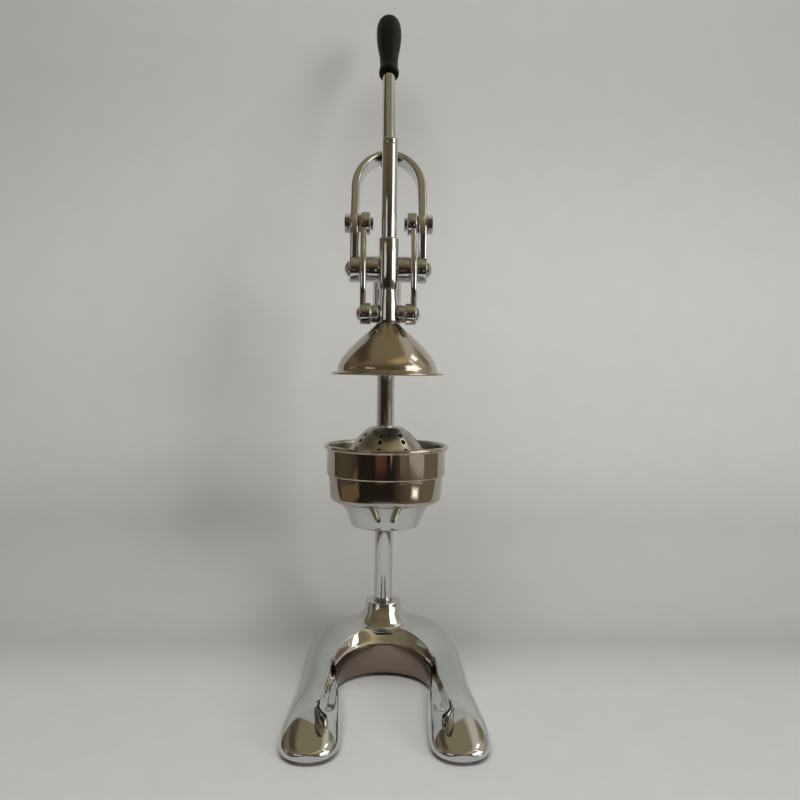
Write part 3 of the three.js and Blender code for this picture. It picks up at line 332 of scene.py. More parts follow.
def turned(points, steps=64, closed=False):
    """The outline spun round the Z axis. A closed outline makes a ring or a tube."""
    shape = drawn_outline(points, closed)
    spin_round(shape, steps, 0.0005)
    bmesh.ops.recalc_face_normals(shape, faces=shape.faces)
    return shape


def smooth_through(points, steps=6):
    """A smooth curve through (radius, height) points, as more points."""
    curve = []
    padded = [points[0], *points, points[-1]]
    for before, start, end, after in zip(padded, padded[1:], padded[2:], padded[3:]):
        for step in range(steps):
            t = step / steps
            curve.append(tuple(
                0.5 * (2 * b + (c - a) * t + (2 * a - 5 * b + 4 * c - d) * t ** 2
                       + (3 * b - a - 3 * c + d) * t ** 3)
                for a, b, c, d in zip(before[:2], start[:2], end[:2], after[:2])))
    return [*curve, tuple(points[-1][:2])]


def cylinder(radius, low, high, steps=64, rounding=0):
    return turned([(0, low), (radius, low, rounding), (radius, high, rounding), (0, high)], steps)


def ring(bore, radius, low, high, steps, bore_rounding, rounding):
    return turned([(bore, low, bore_rounding), (radius, low, rounding),
                   (radius, high, rounding), (bore, high, bore_rounding)], steps, closed=True)


# %% [markdown]
# Castings join several plain forms. The exact Boolean modifier joins or cuts closed shapes, and
# a narrow bevel on the sharp edges that are left gives them the soft glint of a polished edge.

# %% Join, cut and soften
MERGE = 0.002  # points nearer than this are one


def in_scene(shape, name, *materials):
    """A Blender object that has the shape as its mesh."""
    mesh = bpy.data.meshes.new(name)
    shape.to_mesh(mesh)
    shape.free()
    for material in materials:
        mesh.materials.append(material)
    made = bpy.data.objects.new(name, mesh)
    bpy.context.scene.collection.objects.link(made)
    return made


def after_modifiers(holder, *others):
    """The shape that a temporary object has after its modifiers."""
    evaluated = holder.evaluated_get(bpy.context.evaluated_depsgraph_get())
    result = bmesh.new()
    result.from_mesh(evaluated.to_mesh())
    for used in (holder, *others):
        bpy.data.objects.remove(used)
    return result


def combined(shape, others, operation):
    """Joins ("UNION"), cuts ("DIFFERENCE") or intersects the shape with each of the others."""
    holder, *tools = [in_scene(s, "temporary") for s in (shape, *others)]
    for tool in tools:
        boolean = holder.modifiers.new("boolean", "BOOLEAN")
        boolean.operation = operation
        boolean.solver = "EXACT"
        boolean.object = tool
    result = after_modifiers(holder, *tools)
    bmesh.ops.remove_doubles(result, verts=result.verts, dist=MERGE * MM)
    bmesh.ops.dissolve_degenerate(result, dist=MERGE * MM, edges=result.edges)
    slits = [edge for edge in result.edges if edge.is_boundary]  # that merging has left
    bmesh.ops.holes_fill(result, edges=slits, sides=4)
    return result


def smoothed(shape, levels, sheet=0):
    """The shape after a subdivision surface. An open one can be given a sheet's thickness."""
    holder = in_scene(shape, "temporary")
    if sheet:
        thick = holder.modifiers.new("sheet", "SOLIDIFY")
        thick.thickness = sheet * MM
        thick.offset = -1
    smooth = holder.modifiers.new("smooth", "SUBSURF")
    smooth.levels = smooth.render_levels = levels
    return after_modifiers(holder)


def added(shape, *others):
    """Puts other shapes into the same mesh."""
    for other in others:
        mesh = bpy.data.meshes.new("other")
        other.to_mesh(mesh)
        other.free()
        shape.from_mesh(mesh)
        bpy.data.meshes.remove(mesh)
    return shape


def softened(shape, width, sharper_than=40):
    """Bevels every edge that turns more sharply than so many degrees."""
    limit = math.radians(sharper_than)
    edges = [e for e in shape.edges if e.is_manifold and e.calc_face_angle(0) > limit]
    bmesh.ops.bevel(shape, geom=edges, offset=width * MM, offset_type="OFFSET", affect="EDGES",
                    segments=2, profile=0.5, material=-1, clamp_overlap=True)
    return shape


def moved(shape, x=0, y=0, z=0):
    bmesh.ops.translate(shape, verts=shape.verts, vec=Vector((x, y, z)) * MM)
    return shape


def rotated(shape, degrees, axis):
    bmesh.ops.rotate(shape, verts=shape.verts, cent=(0, 0, 0),
                     matrix=Matrix.Rotation(math.radians(degrees), 3, axis))
    return shape


def along_x(shape, side=1):
    """Lays a shape that was made along Z so that its top points to the side."""
    return rotated(shape, 90 * side, "Y")


# %% [markdown]
# A strap, a link or a leg changes its section along its length. A loft sets out the sections
# as rings of edges and bridges each one to the next.

# %% Loft through sections
def bridge_all(shape, rings):
    for first, second in zip(rings, rings[1:]):
        bmesh.ops.bridge_loops(shape, edges=first + second)


def lofted(sections, closed=True, capped=True):
    """A skin over sections, each a list of points in millimetres with the same count."""
    shape = bmesh.new()
    rings = []
    for section in sections:
        points = [shape.verts.new(Vector(p) * MM) for p in section]
        rings.append(chained(shape, points, closed))
    bridge_all(shape, rings)
    if capped:
        bmesh.ops.contextual_create(shape, geom=rings[0])
        bmesh.ops.contextual_create(shape, geom=rings[-1])
    bmesh.ops.recalc_face_normals(shape, faces=shape.faces)
    return shape


def rounded_rectangle(width, depth, rounding, steps=3):
    """Points round a rectangle with rounded corners, about its middle."""
    points = []
    for corner in range(4):
        sign_x = 1 if corner in (0, 3) else -1
        sign_y = 1 if corner in (0, 1) else -1
        middle = Vector((sign_x * (width / 2 - rounding), sign_y * (depth / 2 - rounding)))
        for step in range(steps + 1):
            angle = math.pi / 2 * (corner + step / steps)
            points.append(middle + rounding * Vector((math.cos(angle), math.sin(angle))))
    return points


# %% [markdown]
# The last helpers turn a finished shape into a piece: smooth faces with crisp edges only where
# the shape turns sharply, a finish, a body to ride on, and the CAD part that it stands for. Some
# faces of a piece may have another finish, and small parts keep the mesh of the CAD.

# %% Make a piece
SIDES = (("left", -1), ("right", 1))


def piece(node, shape, body, slot="chromed_steel", material=None, crisp=32, merged=True):
    """Links a shape into the scene as the visible form of a CAD node.

    Edges that turn by more than crisp degrees stay sharp. A shape of several skins isn't
    merged, and keeps the normals that they were made with.
    """
    wires = [edge for edge in shape.edges if edge.is_wire]
    bmesh.ops.delete(shape, geom=wires, context="EDGES")
    if merged:
        bmesh.ops.recalc_face_normals(shape, faces=shape.faces)
    for face in shape.faces:
        face.smooth = True
    for edge in shape.edges:
        edge.smooth = not edge.is_manifold or edge.calc_face_angle(0) < math.radians(crisp)
    made = in_scene(shape, f"{node}_shown", material or SLOT_FINISHES[slot])
    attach(made, body)
    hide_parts(node)
    print(f"{node}: {len(made.data.polygons)} faces")
    return made


def refinish(made, material, test, axis_y):
    """Another finish for the faces that pass a test of normal, height and way out from an axis."""
    made.data.materials.append(material)
    for face in made.data.polygons:
        spot = face.center / MM
        if test(face.normal, spot.z, spot.xy - Vector((0, axis_y))):
            face.material_index = len(made.data.materials) - 1


def keep_cad(node, material):
    """A CAD part that is shown as it is, with a finish."""
    frame["nodes"][node].data.materials.clear()
    frame["nodes"][node].data.materials.append(material)


# %% [markdown]
# ## The base
#
# The base is one hollow casting: a horseshoe with two long toes. Its section changes all the way
# along, from a low dome at the toe to a high broad shoulder beside the column, and a crease runs
# along its inner side from the boss to the toe. Cutting that from a block would take many steps,
# so it is lofted: sections are set out along one half, bridged, mirrored, and smoothed with a
# subdivision surface. Where the metal turns sharply, the points of a section stand close
# together, because a subdivision surface rounds less between close points.

# %% Sizes of the base
ARCH_RADIUS = 45.0
ARCH_CENTRE_Y = press_y - 8.0
LEG_ROOT = 46.5
ROOT_HALF_WIDTH = 84.8
TOE_CENTRE = 64.7
TOE_HALF_WIDTH = 26.6
TOE_MIDDLE = 113.0
TOE_LENGTH = 35.0
TOE_BLUNTNESS = 2.5
TIP_WALL, TOE_RISE, TOE_RISE_POWER = 6.0, 1.079, 0.776
LEVELLING = 14  # the higher, the more suddenly the rising toe turns into the level leg
LEG_SWELL = 2.2  # how far the inner edge of a leg bows inwards
BACK_REACH = 130.0
BACK_HALF_WIDTH = 86.0
BACK_BLUNTNESS = 3.8
LEG_HEIGHT, BACK_HEIGHT = 36.0, 51.0
CASTING_WALL = 5.0
BASE_BOTTOM = span("base")[0].z
COLUMN_BORE = 10.3  # of the castings that sit on the column

# The crease: where along the leg (from the arch centre) or round the arch (degrees), how far
# out from the inner wall, its height, the height of the wall's edge, and how hollow the strip
# between wall and crease is
CREASE_ON_LEG = [(-150, 18.0, 24.0, 18.0, 1), (-114, 19.0, 27.3, 21.5, 1),
                 (-100, 18.6, 31.2, 25.0, 1), (-86, 17.6, 33.8, 27.2, 1),
                 (-70, 15.6, 34.6, 28.0, 1),
                 (-54, 13.6, 33.8, 28.0, 1), (-30, 9.4, 34.0, 28.0, 1), (0, 7.0, 35.0, 28.5, 0.6)]
CREASE_ON_ARCH = [(0, 7.0, 35.0, 28.5, 0.6), (18, 6.2, 37.5, 29.5, 0.2), (35, 6.2, 42.5, 32.5, 0),
                  (50, 7.6, 46.0, 34.8, 0), (65, 10.0, 48.8, 36.0, 0), (90, 12.0, 50.0, 36.0, 0)]
CREASE_STARTS, CREASE_IS_FULL = -109.0, -93.0

# Outer half of the section: share of the way from the crease to the outer edge, share of height
LEG_OUTSIDE = [(0.16, 1.0), (0.36, 0.985), (0.56, 0.925), (0.74, 0.79), (0.88, 0.58),
               (0.97, 0.33), (1.0, 0.14), (1.0, 0.04), (1.0, 0)]
BACK_OUTSIDE = [(0.2, 1.0), (0.42, 1.0), (0.62, 0.985), (0.78, 0.92), (0.9, 0.76), (0.97, 0.52),
                (1.0, 0.26), (1.0, 0.06), (1.0, 0)]


def between(a, b, share):
    return a + (b - a) * share


def eased(share):
    share = min(max(share, 0), 1)
    return share * share * (3 - 2 * share)


def read_table(table, place):
    """The row at a place of the first column, between the two rows next to it."""
    for row, following in zip(table, table[1:]):
        if place <= following[0]:
            break
    share = (place - row[0]) / (following[0] - row[0])
    return [between(a, b, eased(share) if 0 < share < 1 else share)
            for a, b in zip(row[1:], following[1:])]


# %% One section of the base
def creased_section(width, crest, crease, back):
    """Distance from the inner wall and height of each point, from the inner to the outer foot."""
    out, top, edge, hollow = crease
    lean = 2.6 * hollow
    wall_edge = Vector((lean + 1.8, edge + 0.4))
    crease_point = Vector((out, top))
    straight = wall_edge.lerp(crease_point, 0.6)
    steep_foot = Vector((max(out - 3.6, lean + 3.0), top - 4.4))
    foot = straight.lerp(steep_foot, hollow)
    inside = [(0, BASE_BOTTOM), (0, BASE_BOTTOM + 2),
              (lean * 0.5, between(BASE_BOTTOM, edge, 0.5)), (lean * 0.92, edge - 2.4),
              (lean + 0.45, edge - 0.7), wall_edge, wall_edge.lerp(foot, 0.55), foot,
              foot.lerp(crease_point, 0.6), crease_point, (out + 1.9, top + 0.3)]
    outside = [(between(out, width, between(a[0], b[0], back)),
                between(BASE_BOTTOM, crest, between(a[1], b[1], back)))
               for a, b in zip(LEG_OUTSIDE, BACK_OUTSIDE)]
    return [tuple(point) for point in inside] + outside


def domed_section(width, crest, count):
    """The same for a plain dome, blunt at its sides."""
    points = []
    for i in range(count):
        angle = math.pi * i / (count - 1)
        across = abs(math.cos(angle)) ** (2 / 2.5) * (1 if angle < math.pi / 2 else -1)
        points.append((width / 2 * (1 - across),
                       between(BASE_BOTTOM, crest, math.sin(angle) ** (2 / 2.6))))
    return points


def base_section(inner, outer, crest, crease, back=0.0, creased=1.0):
    width = (Vector(outer) - Vector(inner)).length
    section = creased_section(width, crest, crease, back)
    dome_points = domed_section(width, crest, len(section))
    placed = []
    for ridged, plain in zip(section, dome_points):
        across, z = (between(p, r, creased) for p, r in zip(plain, ridged))
        point = Vector(inner).lerp(Vector(outer), across / width)
        placed.append(Vector((point.x, point.y, z)))
    return placed


# %% Sections of one half of the base
def leg_edges(along):
    """Inner and outer edge of a leg, at a distance along Y from the arch centre."""
    share = min(1 + along / TOE_MIDDLE, 1)
    if share < 0:
        wide = (1 - min(-(along + TOE_MIDDLE) / TOE_LENGTH, 1) ** TOE_BLUNTNESS)
        half = TOE_HALF_WIDTH * max(wide, 0.002) ** (1 / TOE_BLUNTNESS)
        return TOE_CENTRE - half, TOE_CENTRE + half
    inner = between(TOE_CENTRE - TOE_HALF_WIDTH, LEG_ROOT, share)
    return (inner - LEG_SWELL * math.sin(math.pi * share),
            between(TOE_CENTRE + TOE_HALF_WIDTH, ROOT_HALF_WIDTH, eased(share)))


def leg_crest(along):
    """The crest rises from a low wall at the tip, less and less steeply, to the level leg."""
    from_tip = along + TOE_MIDDLE + TOE_LENGTH
    rising = TIP_WALL + TOE_RISE * max(from_tip, 0) ** TOE_RISE_POWER
    level = LEG_HEIGHT - BASE_BOTTOM
    return BASE_BOTTOM + (rising ** -LEVELLING + level ** -LEVELLING) ** (-1 / LEVELLING)


def leg_section(along):
    inner, outer = leg_edges(along)
    share = 1 + along / TOE_MIDDLE
    crest = leg_crest(along)
    creased = eased((along - CREASE_STARTS) / (CREASE_IS_FULL - CREASE_STARTS))
    y = ARCH_CENTRE_Y + along
    return base_section((-inner, y), (-outer, y), crest, read_table(CREASE_ON_LEG, along),
                        0.4 * eased((share - 0.67) * 3), creased)


def arch_section(degrees):
    share = degrees / 90
    angle = math.radians(degrees)
    radius = between(LEG_ROOT, ARCH_RADIUS, share)
    half = between(ROOT_HALF_WIDTH, BACK_HALF_WIDTH, eased(share))
    power = 2 / BACK_BLUNTNESS
    inner = (-radius * math.cos(angle), ARCH_CENTRE_Y + radius * math.sin(angle))
    outer = (-half * max(math.cos(angle), 0) ** power,
             ARCH_CENTRE_Y + BACK_REACH * max(math.sin(angle), 0) ** power)
    crest = between(LEG_HEIGHT, BACK_HEIGHT, eased(share / 0.74))
    return base_section(inner, outer, crest, read_table(CREASE_ON_ARCH, degrees),
                        between(0.4, 1, eased(share)))


TOE_STEPS = [-148.0, -147.2, -145.2, -142.0, -137.5, -131.5, -126.0, -121.5]
LEG_STEPS = [-117.0, -112.0, -107.5, -103.5, -99.5, -95.0, -89.0, -81.0, -71.0, -60.0, -48.0,
             -36.0, -24.0, -12.0]
ARCH_STEPS = 14


# %% [markdown]
# The boss that takes the column grows out of the shoulder like the foot of a trumpet, and in
# front it runs down in a tongue almost to the edge of the arch. A patch of the shoulder is
# taken out round the column, rings of the boss are set in, and bridges close the gap, so that
# the subdivision rounds the whole into a single skin.

# %% The boss
# Reach to the side, to the front and to the back, height at the side, in front and behind
BOSS_RINGS = [(30.0, 34.8, 30.0, 51.4, 41.0, 52.2), (25.2, 32.6, 26.0, 53.6, 43.8, 54.2),
              (22.2, 29.6, 22.6, 57.2, 49.6, 57.8), (20.4, 25.2, 20.6, 61.6, 57.0, 62.0),
              (19.7, 21.2, 19.8, 65.4, 64.0, 65.6), (19.5, 19.7, 19.5, 68.6, 68.4, 68.6),
              (19.3, 19.3, 19.3, 70.2, 70.2, 70.2), (18.6, 18.6, 18.6, 70.9, 70.9, 70.9),
              (17.4, 17.4, 17.4, 71.0, 71.0, 71.0), (11.2, 11.2, 11.2, 70.6, 70.6, 70.6),
              (10.5, 10.5, 10.5, 70.2, 70.2, 70.2), (10.3, 10.3, 10.3, 69.0, 69.0, 69.0),
              (10.3, 10.3, 10.3, 52.0, 52.0, 52.0)]
SHOULDER_FROM, OPEN_FOOT_BELOW = 38, 30  # heights
OPENING_RADIUS = 33  # of the patch that is taken out of the shoulder
JOIN_FROM, JOIN_TO, JOIN_PASSES = 27, 39, 4  # the join is smoothed between these radii


def boss_ring(shape, ring, count):
    side, front, behind, side_z, front_z, behind_z = ring
    corners = []
    for i in range(count):
        angle = 2 * math.pi * (i + 0.5) / count
        ahead_share = max(0.0, -math.sin(angle)) ** 2
        behind_share = max(0.0, math.sin(angle)) ** 2
        reach = side + (front - side) * ahead_share + (behind - side) * behind_share
        z = side_z + (front_z - side_z) * ahead_share + (behind_z - side_z) * behind_share
        corners.append(shape.verts.new(Vector((reach * math.cos(angle),
                                               column_y + reach * math.sin(angle), z)) * MM))
    return chained(shape, corners, closed=True)


def half_base(sections):
    """Bridges the sections of the left half and mirrors them to the right."""
    shape = lofted(sections, closed=False, capped=False)
    tip = min(v.co.y for v in shape.verts)
    bmesh.ops.contextual_create(shape, geom=[v for v in shape.verts
                                             if v.co.y < tip + 0.01 * MM])
    bmesh.ops.mirror(shape, geom=shape.verts[:] + shape.edges[:] + shape.faces[:],
                     axis="X", merge_dist=0.01 * MM)
    bmesh.ops.remove_doubles(shape, verts=shape.verts, dist=0.01 * MM)
    bmesh.ops.recalc_face_normals(shape, faces=shape.faces)
    return shape


def add_boss(shape):
    axis = Vector((0, column_y)) * MM

    def from_axis(point):
        return (point.xy - axis).length / MM

    patch = [f for f in shape.faces if from_axis(f.calc_center_median()) < OPENING_RADIUS
             and f.calc_center_median().z > SHOULDER_FROM * MM]
    bmesh.ops.delete(shape, geom=patch, context="FACES")
    rim = [e for e in shape.edges
           if e.is_boundary and e.verts[0].co.z > OPEN_FOOT_BELOW * MM]
    rings = [rim] + [boss_ring(shape, ring, len(rim)) for ring in BOSS_RINGS]
    bridge_all(shape, rings)
    bmesh.ops.contextual_create(shape, geom=rings[-1])
    near = [v for v in shape.verts
            if JOIN_FROM < from_axis(v.co) < JOIN_TO and v.co.z > SHOULDER_FROM * MM]
    for _ in range(JOIN_PASSES):
        bmesh.ops.smooth_vert(shape, verts=near, factor=0.5, use_axis_x=True, use_axis_y=True,
                              use_axis_z=True)
    print("boss set into", len(rim), "edges")


# %% [markdown]
# Under the casting is a hollow. A second, plainer skin lies a wall's thickness inside the first,
# and a last bridge joins the two along the bottom edge.

# %% The casting
def hollow_section(outer_section):
    """The same number of points, a wall's thickness inside an outer section."""
    first, last = outer_section[0].xy, outer_section[-1].xy
    width = (last - first).length
    crest = max(p.z for p in outer_section) - CASTING_WALL
    inset = min(CASTING_WALL / max(width, 0.1), 0.45)
    placed = []
    for across, z in domed_section(1.0, max(crest, BASE_BOTTOM + 0.5), len(outer_section)):
        point = first.lerp(last, between(inset, 1 - inset, across))
        placed.append(Vector((point.x, point.y, z)))
    return placed


half = ([leg_section(along) for along in TOE_STEPS + LEG_STEPS]
        + [arch_section(90 * i / ARCH_STEPS) for i in range(ARCH_STEPS + 1)])
skin = half_base(half)
add_boss(skin)
hollow = half_base([hollow_section(section) for section in half])
bmesh.ops.reverse_faces(hollow, faces=hollow.faces)
casting = added(skin, hollow)
open_edges = [e for e in casting.edges if e.is_boundary]
bmesh.ops.bridge_loops(casting, edges=open_edges)
casting = smoothed(casting, 2)

# Under the casting stand a socket for the column and a post over each rubber foot
socket = turned([(COLUMN_BORE, 14.3), (15.5, 14.3, 1), (17, 47), (COLUMN_BORE, 47)], 48,
                closed=True)
SCREW_BORE = [(0, 13.8), (2.7, 13.8), (2.7, 6.3)]
LOW_POST = SCREW_BORE + [(9.5, 6.3, 1), (8.6, 10), (6, 13.5), (0, 15.2)]
HIGH_POST = SCREW_BORE + [(13, 6.3, 1), (11, 22), (0, 22)]
posts = []
for end, outline in (("front", LOW_POST), ("rear", HIGH_POST)):
    for side, _ in SIDES:
        middle = span(f"foot_pad_{end}_{side}")[2]
        posts.append(moved(turned(outline, 32), middle.x, middle.y))
base = piece("base", added(casting, moved(socket, 0, column_y), *posts), "frame",
             "chromed_casting", crisp=60, merged=False)

WALL_TOP, WALL_REACH, WALL_STARTS = 37.5, 53, 6
STEEPEST = 0.45  # a wall's normal rises or falls less than this
# The inner wall under the arch: rougher chrome, darker in colour as painted shade
refinish(base, rough_chrome_painted_shade, lambda normal, height, out: (
    out.y > WALL_STARTS and out.length < WALL_REACH and height < WALL_TOP
    and abs(normal.z) < STEEPEST and normal.xy.dot(out) < 0), ARCH_CENTRE_Y)
print("dull faces in the arch:", sum(f.material_index for f in base.data.polygons))

# %% [markdown]
# ## Rubber feet
#
# Four moulded rubber feet sit in shallow seats under the casting. Only the front pair shows,
# as a dark line under each toe. They are turned, with a soft lower edge.

# %% Feet
PAD_BORE = 5.2
for place in ("front_left", "front_right", "rear_left", "rear_right"):
    low, high, middle = span(f"foot_pad_{place}")
    radius = (high.x - low.x) / 2
    pad = turned([(PAD_BORE, 0, 0.5), (radius - 0.6, 0, 1.4), (radius, high.z - 0.1, 0.4),
                  (PAD_BORE, high.z - 0.1)], 48, closed=True)
    piece(f"foot_pad_{place}", moved(pad, middle.x, middle.y), "frame", "foot_rubber")
    keep_cad(f"foot_screw_{place}", zinc)

# %% [markdown]
# ## Column, rods and sleeve
#
# These are plain bars: turned outlines with small roundings at their ends.

# %% Bars on upright axes
SLEEVE_PLAY = 0.25

for node, y, body in (("column", column_y, "frame"), ("press_rod", press_y, "plunger")):
    low, high, _ = span(node)
    bar = cylinder((high.x - low.x) / 2, low.z, high.z, rounding=0.4)
    piece(node, moved(bar, 0, y), body)

low, high, _ = span("press_rod_cap")
rod_top = span("press_rod")[1].z
rod_radius = (high.x - low.x) / 2
cap = turned([(0, low.z), (2.9, low.z), (2.9, rod_top + 0.3), (rod_radius, rod_top + 0.3, 0.7),
              (rod_radius, high.z, 2.2), (0, high.z)])
piece("press_rod_cap", moved(cap, 0, press_y), "plunger")

low, high, _ = span("guide_sleeve")
sleeve_radius, sleeve_bore = (high.x - low.x) / 2, rod_radius + SLEEVE_PLAY
sleeve = turned([(sleeve_bore, low.z), (sleeve_radius, low.z, 0.8),
                 (sleeve_radius, high.z, 1.7), (sleeve_bore, high.z, 0.3)], closed=True)
piece("guide_sleeve", moved(sleeve, 0, press_y), "frame")

# %% [markdown]
# ## Neck
#
# The neck joins rod and bell. It is cast: a tapered stem with a round boss to each side that
# takes the link pins, and a small screw in the front of each boss. A narrow groove sets each
# boss off from the stem, so that the stem's flanks show down to the bell.

# %% Neck and its screws
PIN_BELOW_PIVOT = 46.4
BOSS_RADIUS, GROOVE_RADIUS, GROOVE_END = 9.2, 6.0, 10.1
GRUB_ASIDE, GRUB_DROP = 13.6, 6.2  # from the middle of the neck and from the pins
NECK_OUTLINE = [(10.5, 0.14), (10.2, 0.38), (9.7, 0.59), (9.1, 0.77), (8.6, 0.93), (8.5, 0.985)]

low, high, _ = span("neck")
pin_z = pivot.z - PIN_BELOW_PIVOT
boss_end = high.x
stem = turned([(0, low.z), (10.6, low.z, 0.8)]
              + smooth_through([(r, between(low.z, high.z, up)) for r, up in NECK_OUTLINE], 4)
              + [(8.3, high.z), (0, high.z)])
half_bosses = [(0, boss_end), (BOSS_RADIUS, boss_end, 1.3), (BOSS_RADIUS, GROOVE_END, 0.5),
               (GROOVE_RADIUS, GROOVE_END)]
mirrored = [(r, -z, *rounding) for r, z, *rounding in half_bosses]
bosses = along_x(turned(mirrored + half_bosses[::-1], 48))
neck = combined(moved(stem, 0, press_y), [moved(bosses, 0, press_y, pin_z)], "UNION")
grub_turn = math.asin(GRUB_DROP / BOSS_RADIUS)


def on_boss(shape, sign):
    """Sets a shape drawn along Z square on the front of a side boss."""
    rotated(shape, 90 + math.degrees(grub_turn), "X")
    return moved(shape, sign * GRUB_ASIDE,
                 press_y - BOSS_RADIUS * math.cos(grub_turn), pin_z - GRUB_DROP)


neck = softened(neck, 0.7, 30)
bores = [on_boss(turned([(0, -5), (2.9, -5), (2.9, -0.4), (3.6, 1), (0, 1)], 24), sign)
         for _, sign in SIDES]
piece("neck", combined(neck, bores, "DIFFERENCE"), "plunger", "chromed_casting")

for side, sign in SIDES:
    screw = turned([(0, -4.8), (2.4, -4.8, 0.3), (2.4, 0.5, 0.5), (0, 0.5)], 24)
    screw = combined(screw, [cylinder(1.2, -1.2, 2, 6)], "DIFFERENCE")
    piece(f"neck_screw_{side}", on_boss(screw, sign), "plunger", "zinc_steel")

# %% [markdown]
# ## Bell
#
# The bell is spun from thin sheet: a steep skirt that runs in a long curve up to a small flat
# roof, with a rolled rim. The outline is one closed loop, outside and inside, so that the wall
# has its real thickness.

# %% Bell
BELL_SHEET, BELL_BORE = 1.5, 3.2
BELL_OUTLINE = [(11.2, 0.0), (19.8, 0.155), (29.0, 0.32), (37.3, 0.48), (44.2, 0.645),
                (48.4, 0.79), (49.7, 0.9)]  # radius, share of the way down

low, high, _ = span("bell")
top, bottom, rim = high.z, low.z, high.x
outer = smooth_through([(r, top - (top - bottom) * down) for r, down in BELL_OUTLINE])
inner = []
for (r0, z0), (r1, z1), (r2, z2) in zip([outer[0]] + outer[:-1], outer,
                                        outer[1:] + [outer[-1]]):
    run = Vector((r2 - r0, z2 - z0)).normalized()
    inner.append((r1 + run.y * BELL_SHEET, z1 - run.x * BELL_SHEET))
rolled_rim = [(50.4, bottom + 3.2, 0.8), (rim, bottom + 2.3, 1.1), (rim, bottom, 1.1),
              (50.6, bottom + 0.2, 0.6), (48.4, bottom + 3.4, 1.0)]
bell = turned([(BELL_BORE, top), *outer[:-1], *rolled_rim, *inner[-2::-1],
               (BELL_BORE, top - BELL_SHEET)], 96, closed=True)
piece("bell", moved(bell, 0, press_y), "plunger", "polished_stainless", buffed, crisp=50)

# %% [markdown]
# ## Strainer
#
# The strainer is one spun sheet too: a band with a rolled rim, a step that rests on the cup, a
# gutter and a cone with rows of holes. The cone is a coarse net of squares. A square at each
# hole is inset and taken out, the sheet gets its thickness, and a subdivision surface rounds
# square holes to circles.

# %% Strainer
SHEET = 1.2  # of the strainer and of the cup
CONE_TOP_RADIUS, CONE_BASE_RADIUS = 15.0, 51.5
CONE_EVEN_SHARE, CONE_FULLNESS = 0.3, 2.1
HOLE_COLUMNS, HOLE_ROWS, HOLE_RADIUS = 8, 4, 1.9
FIRST_HOLE, HOLE_PITCH, HOLE_TURN = 24.6, 5.5, -103.0
HOLE_SHRINK = 0.66  # how far smoothing pulls in the corners of a hole
BAND_RADIUS, BAND_HEIGHT, SKIRT_PLAY = 59.3, 30.4, 0.35

low, high, _ = span("strainer")
cone_top, skirt_bottom, rim_reach = high.z, low.z, high.x
cup_low, cup_high, _ = span("funnel_cup")
cup_wall = (cup_high.x - cup_low.x) / 2
ledge = cup_high.z + 0.3
band_top = ledge + BAND_HEIGHT


def cone_height(radius):
    share = max(0, radius - CONE_TOP_RADIUS) / (CONE_BASE_RADIUS - CONE_TOP_RADIUS)
    fall = between(share ** CONE_FULLNESS, share, CONE_EVEN_SHARE)
    return between(cone_top, skirt_bottom + SHEET, fall)


def perforated_cone():
    """The cone as a net that is three cells wide per column of holes."""
    columns = HOLE_COLUMNS * 3
    stretch = 6 / (4 + 2 * math.cos(2 * math.pi / columns))  # undoes the shrink of smoothing
    rows = [FIRST_HOLE + HOLE_PITCH * (row - 0.5) for row in range(HOLE_ROWS + 1)]
    radii = [0.5, 8, 14.2, 15.2, 17.5, *rows, 47.4, 50.4, 52.4, 53.2]
    shape = bmesh.new()
    wire = [shape.verts.new(Vector((r * stretch, 0, cone_height(min(r, CONE_BASE_RADIUS)))) * MM)
            for r in radii]
    chained(shape, wire)
    spin_round(shape, columns, 0.001)
    rotated(shape, HOLE_TURN - 180 / columns, "Z")
    cells = []
    for face in shape.faces:
        centre = face.calc_center_median()
        turn = (math.degrees(math.atan2(centre.y, centre.x)) - HOLE_TURN) % (360 / HOLE_COLUMNS)
        off_column = min(turn, 360 / HOLE_COLUMNS - turn)
        if off_column < 1 and rows[0] < centre.xy.length / MM / stretch < rows[-1]:
            cells.append(face)
    bmesh.ops.inset_individual(shape, faces=cells, thickness=0.5 * MM, use_even_offset=True)
    for face in cells:
        centre = face.calc_center_median()
        for corner in face.verts:
            away = (corner.co - centre).normalized()
            corner.co = centre + away * HOLE_RADIUS / HOLE_SHRINK * MM
    bmesh.ops.delete(shape, geom=cells, context="FACES")
    bmesh.ops.recalc_face_normals(shape, faces=shape.faces)
    print("holes:", len(cells))
    return shape


cone = smoothed(perforated_cone(), 2, sheet=SHEET)
skirt = cup_wall - SHEET - SKIRT_PLAY
gutter = skirt_bottom + SHEET
inside = BAND_RADIUS - SHEET
band = turned([(52.6, gutter), (53.0, gutter, 0.3), (skirt - SHEET - 0.4, gutter, 0.8),
               (skirt - SHEET, ledge + 1.0, 0.8), (inside, ledge + 1.6, 1.2),
               (inside, band_top - 2.2, 1.0), (59.4, band_top, 1.1), (rim_reach, band_top, 2.0),
               (rim_reach, band_top - 4.4, 2.0), (BAND_RADIUS, band_top - 4.2, 0.6),
               (BAND_RADIUS, ledge + 0.2, 1.6), (skirt, ledge, 0.4),
               (skirt - 0.3, skirt_bottom, 1.6), (52.6, skirt_bottom)], 96, closed=True)
strainer = piece("strainer", moved(added(cone, band), 0, press_y), "frame",
                 "polished_stainless", crisp=50)

# The wheel reaches the outside well and the hollow side less
CONE_REACH, GUTTER_REACH = 52, 58
refinish(strainer, satin, lambda normal, height, out: (
    (normal.xy.dot(out) < -0.1 and height > ledge)
    or (normal.z > 0.3 and out.length < GUTTER_REACH)
    or (normal.z > 0 and out.length < CONE_REACH)), press_y)
# The underside of the cone is painted near black as painted shade, seen through the holes
refinish(strainer, dark_steel_painted_shade, lambda normal, height, out: (
    normal.z <= 0 and out.length < CONE_REACH), press_y)

# %% [markdown]
# ## Funnel cup
#
# The cup under the strainer is a second spun sheet, with a funnel and a spout in its floor.

